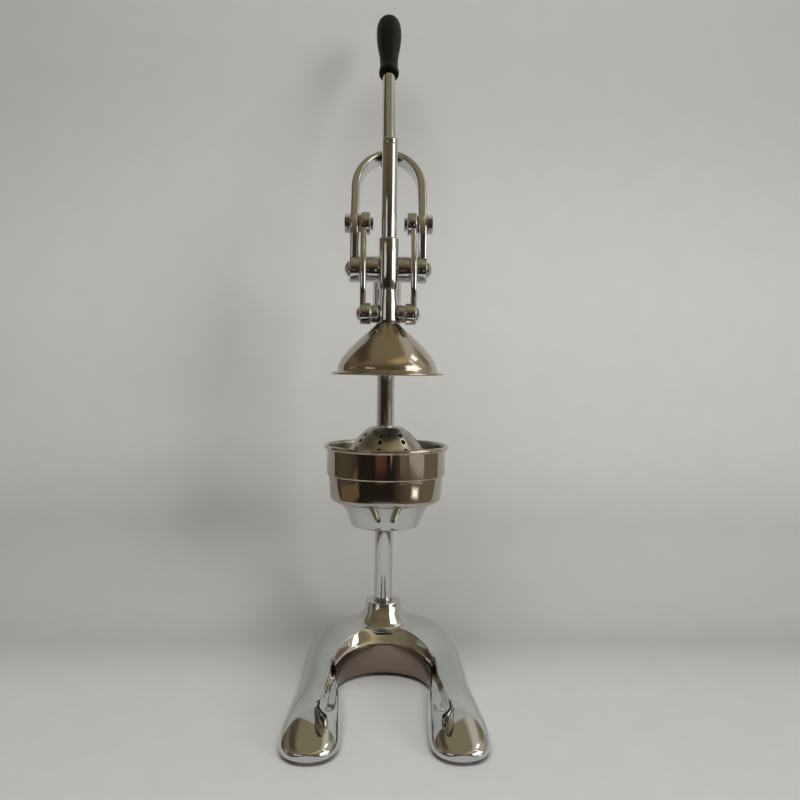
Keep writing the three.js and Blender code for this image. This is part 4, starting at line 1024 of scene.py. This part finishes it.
# %% Funnel cup
CUP_RADIUS, SPOUT_RADIUS, SPOUT_HEIGHT, FUNNEL_HEIGHT = 55.4, 15.2, 8, 18
top, spout_end = cup_high.z, cup_low.z
funnel_foot = spout_end + SPOUT_HEIGHT
floor = funnel_foot + FUNNEL_HEIGHT
cup = turned([(cup_wall, top), (CUP_RADIUS, floor, 5.2), (39.4, floor, 2.0),
              (SPOUT_RADIUS, funnel_foot, 1.6), (SPOUT_RADIUS, spout_end),
              (SPOUT_RADIUS - SHEET, spout_end), (SPOUT_RADIUS - SHEET, funnel_foot, 1.6),
              (38.0, floor + SHEET, 2.0), (CUP_RADIUS - SHEET, floor + SHEET, 4.0),
              (cup_wall - SHEET, top)], 96, closed=True)
cup = piece("funnel_cup", moved(cup, 0, press_y), "frame", "polished_stainless")
# The inside of the cup is painted near black as painted shade, under the strainer
refinish(cup, dark_steel_painted_shade, lambda normal, height, out: (
    normal.xy.dot(out) < -0.1 or (normal.z > 0.3 and out.length < 53)), press_y)

# %% [markdown]
# ## Cup bracket
#
# A cast ring carries the cup. Its outside is drawn in like a flower pot with a waist. An arm
# and a collar hold it on the column, hidden behind the cup from the front.

# %% Cup bracket
low, high, _ = span("cup_bracket")
side_curve = smooth_through([(46.4, high.z), (43.4, high.z - 4), (40.0, high.z - 9.5),
                             (37.2, high.z - 15.4), (35.4, high.z - 21.0)], 5)
cup_ring = turned([(39.9, high.z)] + side_curve + [(34.2, low.z, 1.8), (28.4, low.z, 0.8)], 96,
                  closed=True)
collar = ring(COLUMN_BORE, 16.4, low.z, high.z, 48, 0, 1.3)
ARM_HEIGHT = 14
ARM_STATIONS = [(press_y + 33, 14.5), (press_y + 42, 10.6), (press_y + 52, 9.0),
                (press_y + 61, 9.2), (column_y - 12, 9.8)]  # place, half width
arm = lofted([[(x, y, (low.z + high.z) / 2 + z)
               for x, z in rounded_rectangle(2 * half, ARM_HEIGHT, 2.4)]
              for y, half in ARM_STATIONS])
bracket = combined(moved(cup_ring, 0, press_y), [moved(collar, 0, column_y), arm], "UNION")
piece("cup_bracket", bracket, "frame", "chromed_casting")

# %% [markdown]
# ## Head
#
# The casting on top of the column: a socket for the column, a cross tube for the main shaft,
# a bridge between them, and a cradle in which the guide sleeve is brazed.

# %% Head
CROSS_TUBE_RADIUS = 13.3
CRADLE_HEIGHTS = (380, 470)  # from below the cross tube to above it
BRIDGE = [(pivot.y, 24, 0), (pivot.y + 15, 25, -1), (pivot.y + 30, 31, -3),
          (column_y - 8, 40, -5)]  # place, height, rise of its middle over the pivot
low, high, _ = span("head")
socket = turned([(0, low.z), (15.6, low.z, 1.5), (15.6, high.z, 3.0), (0, high.z)])
cross = along_x(cylinder(CROSS_TUBE_RADIUS, -high.x, high.x, rounding=0.6))
bridge = lofted([[(x, y, z + lift) for x, z in rounded_rectangle(17, tall, 3)]
                 for y, tall, lift in BRIDGE])
head = combined(moved(cross, 0, pivot.y, pivot.z),
                [moved(socket, 0, column_y), moved(bridge, 0, 0, pivot.z)], "UNION")
cradle = cylinder(sleeve_radius + SLEEVE_PLAY, *CRADLE_HEIGHTS)
bore = cylinder(COLUMN_BORE, low.z - 3, high.z - 5, 48)
head = combined(head, [moved(cradle, 0, press_y), moved(bore, 0, column_y)], "DIFFERENCE")
piece("head", softened(head, 0.5, 38), "frame", "chromed_casting")

# %% [markdown]
# ## Screws at the back
#
# Two cap screws clamp the head and the bracket on the column, each with a hexagon socket.

# %% Clamping screws
for node in ("head_screw", "bracket_screw"):
    low, high, middle = span(node)
    length = high.y - low.y
    screw = turned([(0, 0), (3, 0), (3, length - 4.1, 0.2), (5, length - 4.1, 0.2),
                    (5, length, 0.7), (0, length)], 32)
    screw = combined(screw, [cylinder(2.5, length - 2.4, length + 2, 6)], "DIFFERENCE")
    piece(node, moved(rotated(screw, -90, "X"), 0, low.y, middle.z), "frame")

# %% [markdown]
# ## Arch
#
# The arch is a flat bar bent into a hoop, with an eye welded on the foot of each arm. The arms
# rise straight past the link bolts, lean back, and close in half an ellipse. Its sections are
# set out on that bent line, as in the part itself.

# %% Arch
LEAN = math.radians(32.5)
BEND_RADIUS = 40.0
CROWN_RISE, CROWN_LENGTH = 97.5, 52.0
ARM_THICKNESS, CROWN_THICKNESS, ARCH_DEPTH = 8.8, 5.8, 18.0
ARM_OUTER = 38.85
EYE_INNER, EYE_OUTER, EYE_RADIUS, EYE_BORE = 28.3, 39.0, 13.8, 6.2

bolt_rise = bolt_line.z - pivot.z
bend_start = bolt_rise - BEND_RADIUS * math.tan(LEAN / 2)
bend_length = BEND_RADIUS * LEAN
crown_top = bolt_rise + CROWN_RISE - (2 * BEND_RADIUS * math.tan(LEAN / 2) - bend_length)


def on_arm(x, up, front):
    """A point at a height along the bent arm and a distance in front of its middle line."""
    turn = min(max((up - bend_start) / BEND_RADIUS, 0), LEAN)
    past = max(0, up - bend_start - bend_length)
    y = BEND_RADIUS * (1 - math.cos(turn)) + past * math.sin(LEAN)
    z = min(up, bend_start) + BEND_RADIUS * math.sin(turn) + past * math.cos(LEAN)
    return Vector((x, y - front * math.cos(turn), z + front * math.sin(turn))) + pivot


def strap_section(x, up, tilt, thickness, side):
    return [on_arm(side * (x + a * math.cos(tilt)), up - a * math.sin(tilt), f)
            for a, f in rounded_rectangle(thickness, ARCH_DEPTH, 2.6)]


def strap_sections(side):
    shoulder = crown_top - CROWN_LENGTH
    for i in range(16):
        yield strap_section(ARM_OUTER - ARM_THICKNESS / 2, shoulder * i / 16, 0,
                            ARM_THICKNESS, side)
    for i in range(21):
        angle = math.pi / 2 * i / 20
        thickness = between(ARM_THICKNESS, CROWN_THICKNESS, eased(i / 20))
        wide, tall = ARM_OUTER - thickness / 2, CROWN_LENGTH - thickness / 2
        tilt = -math.atan2(wide * math.sin(angle), tall * math.cos(angle))
        yield strap_section(wide * math.cos(angle), shoulder + tall * math.sin(angle), tilt,
                            thickness, side)


def eye(bore, radius, inner, outer, steps, bore_rounding, rounding, sign, centre):
    shape = ring(bore, radius, inner, outer, steps, bore_rounding, rounding)
    return moved(along_x(shape, sign), *centre)


strap = lofted([*strap_sections(-1), *list(strap_sections(1))[-2::-1]])
eyes = [eye(EYE_BORE, EYE_RADIUS, EYE_INNER, EYE_OUTER, 64, 0.8, 1.2, sign, pivot)
        for _, sign in SIDES]
plugs = [moved(along_x(cylinder(EYE_BORE, 20, 50, 48), sign), *pivot) for _, sign in SIDES]
arch = combined(combined(strap, plugs, "DIFFERENCE"), eyes, "UNION")
piece("arch", arch, "lever", crisp=40)

# %% [markdown]
# ## Shaft caps
#
# A domed cap covers each end of the main shaft.

# %% Domed caps and pins
def dome(radius, rise, rim, bottom):
    """Outline of a low domed head standing on its rim."""
    sphere = (radius ** 2 + (rise - rim) ** 2) / (2 * (rise - rim))
    half = math.asin(radius / sphere)
    top = bottom + rise
    arc = [(sphere * math.sin(half * i / 8), top - sphere * (1 - math.cos(half * i / 8)))
           for i in range(8, -1, -1)]
    return [(0, bottom), (radius - 0.4, bottom), (radius, bottom + 0.4), *arc]


def reach_of(node):
    """How far the near and the far end of a part stand out to its side."""
    low, high, _ = span(node)
    return sorted((abs(low.x), abs(high.x)))


for side, sign in SIDES:
    seat, reach = reach_of(f"shaft_cap_{side}")
    cap = along_x(turned(dome(8.0, reach - seat, 1.4, seat), 48), sign)
    piece(f"shaft_cap_{side}", moved(cap, *pivot), "lever")

# %% [markdown]
# ## Lever rod, crown nut and grip
#
# These stand on the crown of the arch and lean back with it. They are turned upright first and
# then laid along the lean.

# %% Lever rod, nut and grip
crown_point = on_arm(0, crown_top, 0)


def on_crown(shape):
    return moved(rotated(shape, -math.degrees(LEAN), "X"), *crown_point)


def hexagon(corner_radius, bottom, top, chamfer=1.0):
    """A hexagon along Z whose top corners are turned off to a cone."""
    flat = corner_radius * math.cos(math.pi / 6)
    cone = turned([(0, bottom - 1), (corner_radius + 0.4, bottom - 1),
                   (corner_radius + 0.2, top - chamfer), (flat - 0.4, top, 0.3), (0, top)], 48)
    prism = cylinder(corner_radius, bottom, top, 6)
    return softened(combined(prism, [cone], "INTERSECT"), 0.2, 25)


ROD_LENGTH, ROD_RADIUS, GRIP_SUNK, GRIP_LENGTH = 203.0, 7.3, 72.0, 101.6
rod = turned([(0, -14.8), (5.8, -14.8, 0.6), (5.8, 0.4), (ROD_RADIUS, 0.4, 0.8),
              (ROD_RADIUS, ROD_LENGTH, 0.8), (0, ROD_LENGTH)])
piece("lever_rod", on_crown(rod), "lever")

nut = rotated(hexagon(10.3, 6.2, 13.5), 180, "X")
nut = combined(nut, [cylinder(6.1, -20, 0, 32)], "DIFFERENCE")
piece("crown_nut", on_crown(nut), "lever")

grip_foot = ROD_LENGTH - GRIP_SUNK
GRIP_OUTLINE = [(11.4, 0.014), (11.6, 0.05), (10.9, 0.072), (10.5, 0.1), (10.4, 0.17),
                (10.9, 0.3), (12.9, 0.46), (14.6, 0.62), (14.85, 0.76), (13.9, 0.87),
                (11.6, 0.94), (7.6, 0.982), (3.0, 0.998), (0, 1.0)]
outline = smooth_through([(r, grip_foot + GRIP_LENGTH * up) for r, up in GRIP_OUTLINE], 5)
grip_bore = ROD_RADIUS + 0.3
grip = turned([(grip_bore, grip_foot), (10.8, grip_foot)] + outline
              + [(0, ROD_LENGTH + 0.3), (grip_bore, ROD_LENGTH + 0.3)], closed=True)
piece("grip", on_crown(grip), "lever", "grip_plastic")

# %% [markdown]
# ## Link bolts
#
# A hexagon bolt goes through each arm of the arch, a thin washer and the upper eye of a link,
# and a thin nut holds it on the inside.

# %% Bolts, washers and nuts
BOLT_RADIUS, WASHER_RADIUS, BOLT_HEAD, BOLT_NUT = 4.9, 8.7, 9.8, 6.9

for side, sign in SIDES:
    inner_end, outer_end = reach_of(f"link_bolt_{side}")
    seat = ARM_OUTER + 0.35
    shank = turned([(0, inner_end), (BOLT_RADIUS, inner_end, 0.5), (BOLT_RADIUS, seat + 1),
                    (0, seat + 1)], 32)
    bolt = along_x(combined(hexagon(BOLT_HEAD, seat, outer_end), [shank], "UNION"), sign)
    piece(f"link_bolt_{side}", moved(bolt, *bolt_line), "lever")

    inner_end, outer_end = reach_of(f"link_spacer_{side}")
    washer = ring(5.2, WASHER_RADIUS, inner_end, outer_end, 48, 0.2, 0.3)
    piece(f"link_spacer_{side}", moved(along_x(washer, sign), *bolt_line), "lever", "zinc_steel")

    inner_end, outer_end = reach_of(f"link_nut_{side}")
    nut = hexagon(BOLT_NUT, -outer_end, -inner_end, 0.6)
    nut = combined(nut, [cylinder(5.1, -outer_end - 2, -inner_end + 2, 32)], "DIFFERENCE")
    piece(f"link_nut_{side}", moved(along_x(nut, -sign), *bolt_line), "lever")

# %% [markdown]
# ## Links
#
# Each link is a bar with an eye at both ends, bowed forward so that it clears the cross tube.
# The pins with domed heads ride with the links.

# %% Links and pins
UPPER_BORE, LOWER_BORE = 5.2, 4.2
LINK_OUTER = 28.2
BAR_THICKNESS, BAR_WIDTH, CROSS_TUBE_CLEARANCE = 6.0, 12.0, 1.0
pin_offset = Vector((0, press_y - pivot.y, pin_z - bolt_line.z))
pin_line = bolt_line + pin_offset
link_length, down = pin_offset.length, pin_offset.normalized()
forward = Vector((1, 0, 0)).cross(down)
if forward.y > 0:
    forward.negate()
bow = (CROSS_TUBE_RADIUS + CROSS_TUBE_CLEARANCE + BAR_WIDTH / 2
       - abs(down.y) * bolt_rise)


def link_bar(sign):
    sections = []
    for i in range(25):
        share = i / 24
        slope = math.atan(bow * math.pi * math.cos(math.pi * share) / link_length)
        centre = (bolt_line + down * link_length * share
                  + forward * bow * math.sin(math.pi * share))
        across = forward * math.cos(slope) - down * math.sin(slope)
        aside = sign * (LINK_OUTER - BAR_THICKNESS / 2)
        sections.append([centre + Vector((aside + a, 0, 0)) + across * b
                         for a, b in rounded_rectangle(BAR_THICKNESS, BAR_WIDTH, 2.4)])
    return lofted(sections)


for side, sign in SIDES:
    bores = [moved(along_x(cylinder(bore, 10, 40, 32), sign), *centre)
             for bore, centre in ((UPPER_BORE, bolt_line), (LOWER_BORE, pin_line))]
    bar = combined(link_bar(sign), bores, "DIFFERENCE")
    bar = combined(bar, [
        eye(UPPER_BORE, 11.6, 18.6, LINK_OUTER, 48, 0.3, 1.5, sign, bolt_line),
        eye(LOWER_BORE, 10.9, 17.1, LINK_OUTER, 48, 0.3, 1.5, sign, pin_line)], "UNION")
    piece(f"link_{side}", bar, "links", crisp=40)

    reach = reach_of(f"link_pin_{side}")[1]
    seat = LINK_OUTER + 0.3
    head = turned(dome(6.7, reach - seat, 1.0, seat), 40)
    shank = turned([(0, 17.2), (3.9, 17.2, 0.4), (3.9, seat + 1), (0, seat + 1)], 24)
    pin = along_x(combined(head, [shank], "UNION"), sign)
    piece(f"link_pin_{side}", moved(pin, *pin_line), "links")

# %% [markdown]
# ## Hidden hardware
#
# The bushes, the main shaft and the screws under the bell and the base stay as the CAD has
# them, and only get their finish.

# %% Finishes of hidden hardware
HIDDEN = {"column_washer": zinc, "column_bolt": zinc, "main_shaft": zinc, "bell_screw": zinc,
          "pivot_bush_left": bronze, "pivot_bush_right": bronze}
for node, material in HIDDEN.items():
    keep_cad(node, material)
print("hidden hardware finished:", ", ".join(HIDDEN))

# %% [markdown]
# ## Studio
#
# Chrome shows nothing but its surroundings, so the studio matters as much as the finish. A sheet
# of pale paper lies under the press and rises behind it. Beyond its edges the polished faces
# see a dim warm room with a bright window to the right, while the camera sees only pale paper.
# Light Path says which kind of ray is asking. The paper is a little darker in the fold and near
# its top, where less of the room's light reaches it.

# %% Paper sweep behind and below
PAPER_BACK, PAPER_BEND, PAPER_EXTENT, PAPER_RISE = 245, 120, 4000, 3000
# What reflections see of it: a round table edge in front, and a wall with round corners
TABLE_REACH, TABLE_FRONT = 480, 100
WALL_HALF_WIDTH, SHEET_TOP, CORNER_POWER = 620, 1010, 1.5
# Its shade, from the fold outwards and from one height to another
FOLD_AT, FOLD_SHADE, FOLD_STARTS, FOLD_ENDS = 200, 0.79, 20, 240
TOP_SHADE, TOP_STARTS, TOP_ENDS = 0.78, 380, 750


def on_stage(shape, name, material):
    made = in_scene(shape, name, material)
    return made


def paper():
    """Matt paper. Past its edges a reflection passes through, and so does a view from behind."""
    material, tree, place = new_material("matt_paper")
    x, y, z = axes_of(tree, place)
    in_plan = add_node(tree, "CombineXYZ", {"X": x, "Y": y}).outputs["Vector"]
    from_press = add_node(tree, "VectorMath", {0: in_plan, 1: (0, press_y * MM, 0)},
                          operation="DISTANCE").outputs["Value"]
    off_table = sum_of(tree, "MULTIPLY",
                       sum_of(tree, "GREATER_THAN", from_press, TABLE_REACH * MM),
                       sum_of(tree, "LESS_THAN", y, TABLE_FRONT * MM))
    to_edge = [sum_of(tree, "POWER", sum_of(tree, "MULTIPLY", value, 1 / (edge * MM)),
                      CORNER_POWER)
               for value, edge in ((sum_of(tree, "ABSOLUTE", x), WALL_HALF_WIDTH),
                                   (z, SHEET_TOP))]
    off_wall = sum_of(tree, "GREATER_THAN", sum_of(tree, "ADD", *to_edge), 1.0)
    off_sheet = sum_of(tree, "MAXIMUM", off_table, off_wall)
    ray = add_node(tree, "LightPath").outputs
    back = add_node(tree, "NewGeometry").outputs["Backfacing"]
    clear_share = sum_of(tree, "MAXIMUM",
                         sum_of(tree, "MULTIPLY", off_sheet, ray["Is Glossy Ray"]),
                         sum_of(tree, "MULTIPLY", back, ray["Is Camera Ray"]))

    tone = blend(tree, ("#C0BFBC", "#C6C5C2"), noise(tree, place, 40, Detail=4.0))
    from_fold = sum_of(tree, "MAXIMUM", z, sum_of(tree, "SUBTRACT", FOLD_AT * MM, y))
    off_fold = ranged(tree, from_fold, FOLD_STARTS * MM, FOLD_ENDS * MM, FOLD_SHADE, 1.0,
                      interpolation_type="SMOOTHSTEP")
    below_top = ranged(tree, z, TOP_STARTS * MM, TOP_ENDS * MM, 1.0, TOP_SHADE,
                       interpolation_type="SMOOTHSTEP")
    shade = sum_of(tree, "MULTIPLY", off_fold, below_top)
    shaded = add_node(tree, "VectorMath", {0: tone, "Scale": shade}, operation="SCALE")
    matt = add_node(tree, "BsdfDiffuse", {"Color": shaded.outputs["Vector"]})
    clear = add_node(tree, "BsdfTransparent")
    surfaced(tree, add_node(tree, "MixShader", {
        0: clear_share, 1: matt.outputs["BSDF"], 2: clear.outputs["BSDF"]}))
    return material


def sweep_shape():
    """A floor that curves up into a wall, both very wide."""
    shape = bmesh.new()
    corners = [shape.verts.new(Vector((-PAPER_EXTENT, y, z)) * MM) for y, z in
               ((-PAPER_EXTENT, 0), (PAPER_BACK, 0), (PAPER_BACK, PAPER_RISE))]
    chained(shape, corners)
    bmesh.ops.bevel(shape, geom=[corners[1]], offset=PAPER_BEND * MM, offset_type="OFFSET",
                    affect="VERTICES", segments=12, profile=0.5, material=-1)
    made = bmesh.ops.extrude_edge_only(shape, edges=shape.edges[:])["geom"]
    bmesh.ops.translate(shape, verts=[v for v in made if isinstance(v, bmesh.types.BMVert)],
                        vec=(2 * PAPER_EXTENT * MM, 0, 0))
    shape.normal_update()
    away = [f for f in shape.faces if f.normal.z - f.normal.y < 0]
    bmesh.ops.reverse_faces(shape, faces=away)
    for face in shape.faces:
        face.smooth = True
    return shape


on_stage(sweep_shape(), "paper_sweep", paper())

# %% [markdown]
# Cards are glowing rectangles that stand where the windows and the furniture of the room would
# be. Each is placed by compass: how far round from the camera's side, how high above the
# horizon, and how wide and tall it looks, in degrees from the middle of the press.

# %% Cards that only reflections see
ROOM_CENTRE = Vector((0, press_y, 300)) * MM


def card(name, around, above, wide, tall, colour, strength=1.0, distance=1.9, soft=0.0):
    """A glowing card that faces the press and shows only in reflections.

    Soft is the share of its width over which each edge fades out.
    """
    turn, rise = math.radians(around), math.radians(above)
    towards = Vector((math.sin(turn) * math.cos(rise), -math.cos(turn) * math.cos(rise),
                      math.sin(rise)))
    shape = bmesh.new()
    shape.loops.layers.uv.new("card")
    bmesh.ops.create_grid(shape, x_segments=1, y_segments=1, size=0.5, calc_uvs=True)
    width, height = (2 * distance * math.tan(math.radians(a) / 2) for a in (wide, tall))
    bmesh.ops.scale(shape, verts=shape.verts, vec=(width, height, 1))
    facing = (-towards).to_track_quat("Z", "Y").to_matrix().to_4x4()
    shape.transform(Matrix.Translation(ROOM_CENTRE + towards * distance) @ facing)
    material, tree, _ = new_material(name)
    shader = add_node(tree, "Emission", {"Color": linear(colour), "Strength": strength})
    if soft:
        across, up, _ = axes_of(tree, add_node(tree, "TexCoord").outputs["UV"])
        nearest = sum_of(tree, "MINIMUM", *(sum_of(tree, "PINGPONG", value, 0.5)
                                            for value in (across, up)))
        fade = ranged(tree, nearest, 0.0, soft, interpolation_type="SMOOTHSTEP")
        clear = add_node(tree, "BsdfTransparent")
        shader = add_node(tree, "MixShader", {
            0: fade, 1: clear.outputs["BSDF"], 2: shader.outputs["Emission"]})
    surfaced(tree, shader)
    made = on_stage(shape, name, material)
    made.visible_camera = made.visible_diffuse = False
    made.visible_shadow = made.visible_transmission = False


card("window", 63, 10, 42, 13, "#FFFDF8", 2.4, distance=2.4)
card("window_top", 61, 23, 30, 16, "#FFFDF8", 2.2, distance=2.4)
card("window_blind", 73, 38, 5, 24, "#FFFDF8", 1.5, distance=2.3)
card("window_sill", 60, -4, 26, 9, "#B9B3A8", soft=0.3)
card("sunny_patch", 59, -25, 19, 7, "#FFF8EA", 2.4, distance=0.66, soft=0.5)
card("skylight", 94, 48, 13, 12, "#FFFDF8", 2.2, distance=2.2, soft=0.15)
card("lit_wall", 92, 34, 40, 48, "#BDB39E", distance=2.5, soft=0.25)
card("side_wall", 108, 6, 38, 34, "#A29D93", distance=2.5)
card("lit_ceiling", 45, 54, 60, 28, "#CDBB8C", distance=2.5, soft=0.45)
card("sunlit_ceiling", 116, 56, 66, 28, "#D2CABB", 0.9, distance=2.4, soft=0.3)
card("dark_corner", -106, 52, 74, 36, "#51473A", distance=2.5, soft=0.4)
card("lamp_shade", -41, 12.5, 24, 17, "#DCD3C6", soft=0.12)
card("lamp", -30, 11, 5, 9, "#FFF6E8", distance=1.8)
card("curtain", -88, 4, 20, 24, "#8F8A80")
card("door_frame", 9, -10, 2.5, 14, "#C9B4A8")
card("wooden_door", -10, -10, 20, 16, "#664438")
card("wooden_cupboard", -79, -21, 42, 7, "#786448")
card("sideboard", 33, -9, 14, 18, "#7C6E62")
card("white_chair", 60, -12.5, 32, 9, "#BDB8AC")

# %% [markdown]
# The lamps stand where the photograph's shadows point: a wide soft window low at the right in
# front, and a ceiling light over the front of the table. Polished faces see the cards instead
# of the lamps. The world is pale paper to the camera, an even neutral light to matt surfaces,
# and to polished ones the dim room: dark at eye level, olive brown overhead, lighter to the
# sides.

# %% Lamps
def lamp(name, place, target, size, power, colour, spread=180):
    data = bpy.data.lights.new(name, "AREA")
    data.shape = "RECTANGLE"
    data.size, data.size_y = size
    data.energy = power
    data.spread = math.radians(spread)
    data.color = linear(colour)[:3]
    made = bpy.data.objects.new(name, data)
    made.location = place
    made.rotation_mode = "QUATERNION"
    made.rotation_quaternion = (Vector(target) - Vector(place)).to_track_quat("-Z", "Y")
    made.visible_glossy = False
    bpy.context.scene.collection.objects.link(made)


lamp("window_light", (2.03, -2.1, 0.93), (0.28, 0.24, 0.4), (1.2, 1.1), 3.8, "#FFFDFA", 50)
lamp("ceiling_light", (0, -0.8, 1.5), (0, -0.75, 0), (1.2, 0.8), 20, "#FFFFFF")

# %% World
# Share of the way from straight down to straight up, and the colour there
ROOM_COLOURS = ((0.0, "#241F19"), (0.5, "#2C2620"), (0.6, "#40382F"), (0.68, "#635641"),
                (0.75, "#6F604A"), (0.88, "#847A5F"), (1.0, "#8C8265"))
SIDE_COLOUR, ROOM_LIGHT, PALE_PAPER = "#978C76", "#DCDBD8", "#BDBBB7"
ROOM_LIGHT_STRENGTH = 0.24


def room_world():
    world = bpy.data.worlds.new("room")
    world.use_nodes = True
    tree = world.node_tree
    tree.nodes.clear()
    x, _, z = axes_of(tree, add_node(tree, "TexCoord").outputs["Generated"])
    room = add_node(tree, "ValToRGB", {"Fac": ranged(tree, z, -1.0, 1.0)})
    steps = room.color_ramp.elements
    steps[0].color, steps[1].color = (linear(ROOM_COLOURS[i][1]) for i in (0, -1))
    for place, colour in ROOM_COLOURS[1:-1]:
        steps.new(place).color = linear(colour)
    lit = sum_of(tree, "ADD", ranged(tree, x, 0.2, 0.95, high=0.6),
                 ranged(tree, x, -0.75, -1.0, high=0.3))
    sides = add_node(tree, "MixRGB", {
        "Fac": lit, "Color1": room.outputs["Color"], "Color2": linear(SIDE_COLOUR)})
    matt, glossy, seen = [
        add_node(tree, "Background", {"Color": colour, "Strength": strength}).outputs[0]
        for colour, strength in ((linear(ROOM_LIGHT), ROOM_LIGHT_STRENGTH),
                                 (sides.outputs["Color"], 1.0), (linear(PALE_PAPER), 1.0))]
    ray = add_node(tree, "LightPath").outputs
    lights = add_node(tree, "MixShader", {0: ray["Is Glossy Ray"], 1: matt, 2: glossy})
    all_rays = add_node(tree, "MixShader", {
        0: ray["Is Camera Ray"], 1: lights.outputs["Shader"], 2: seen})
    add_node(tree, "OutputWorld", {"Surface": all_rays.outputs["Shader"]})
    return world


bpy.context.scene.world = room_world()
print("studio ready")
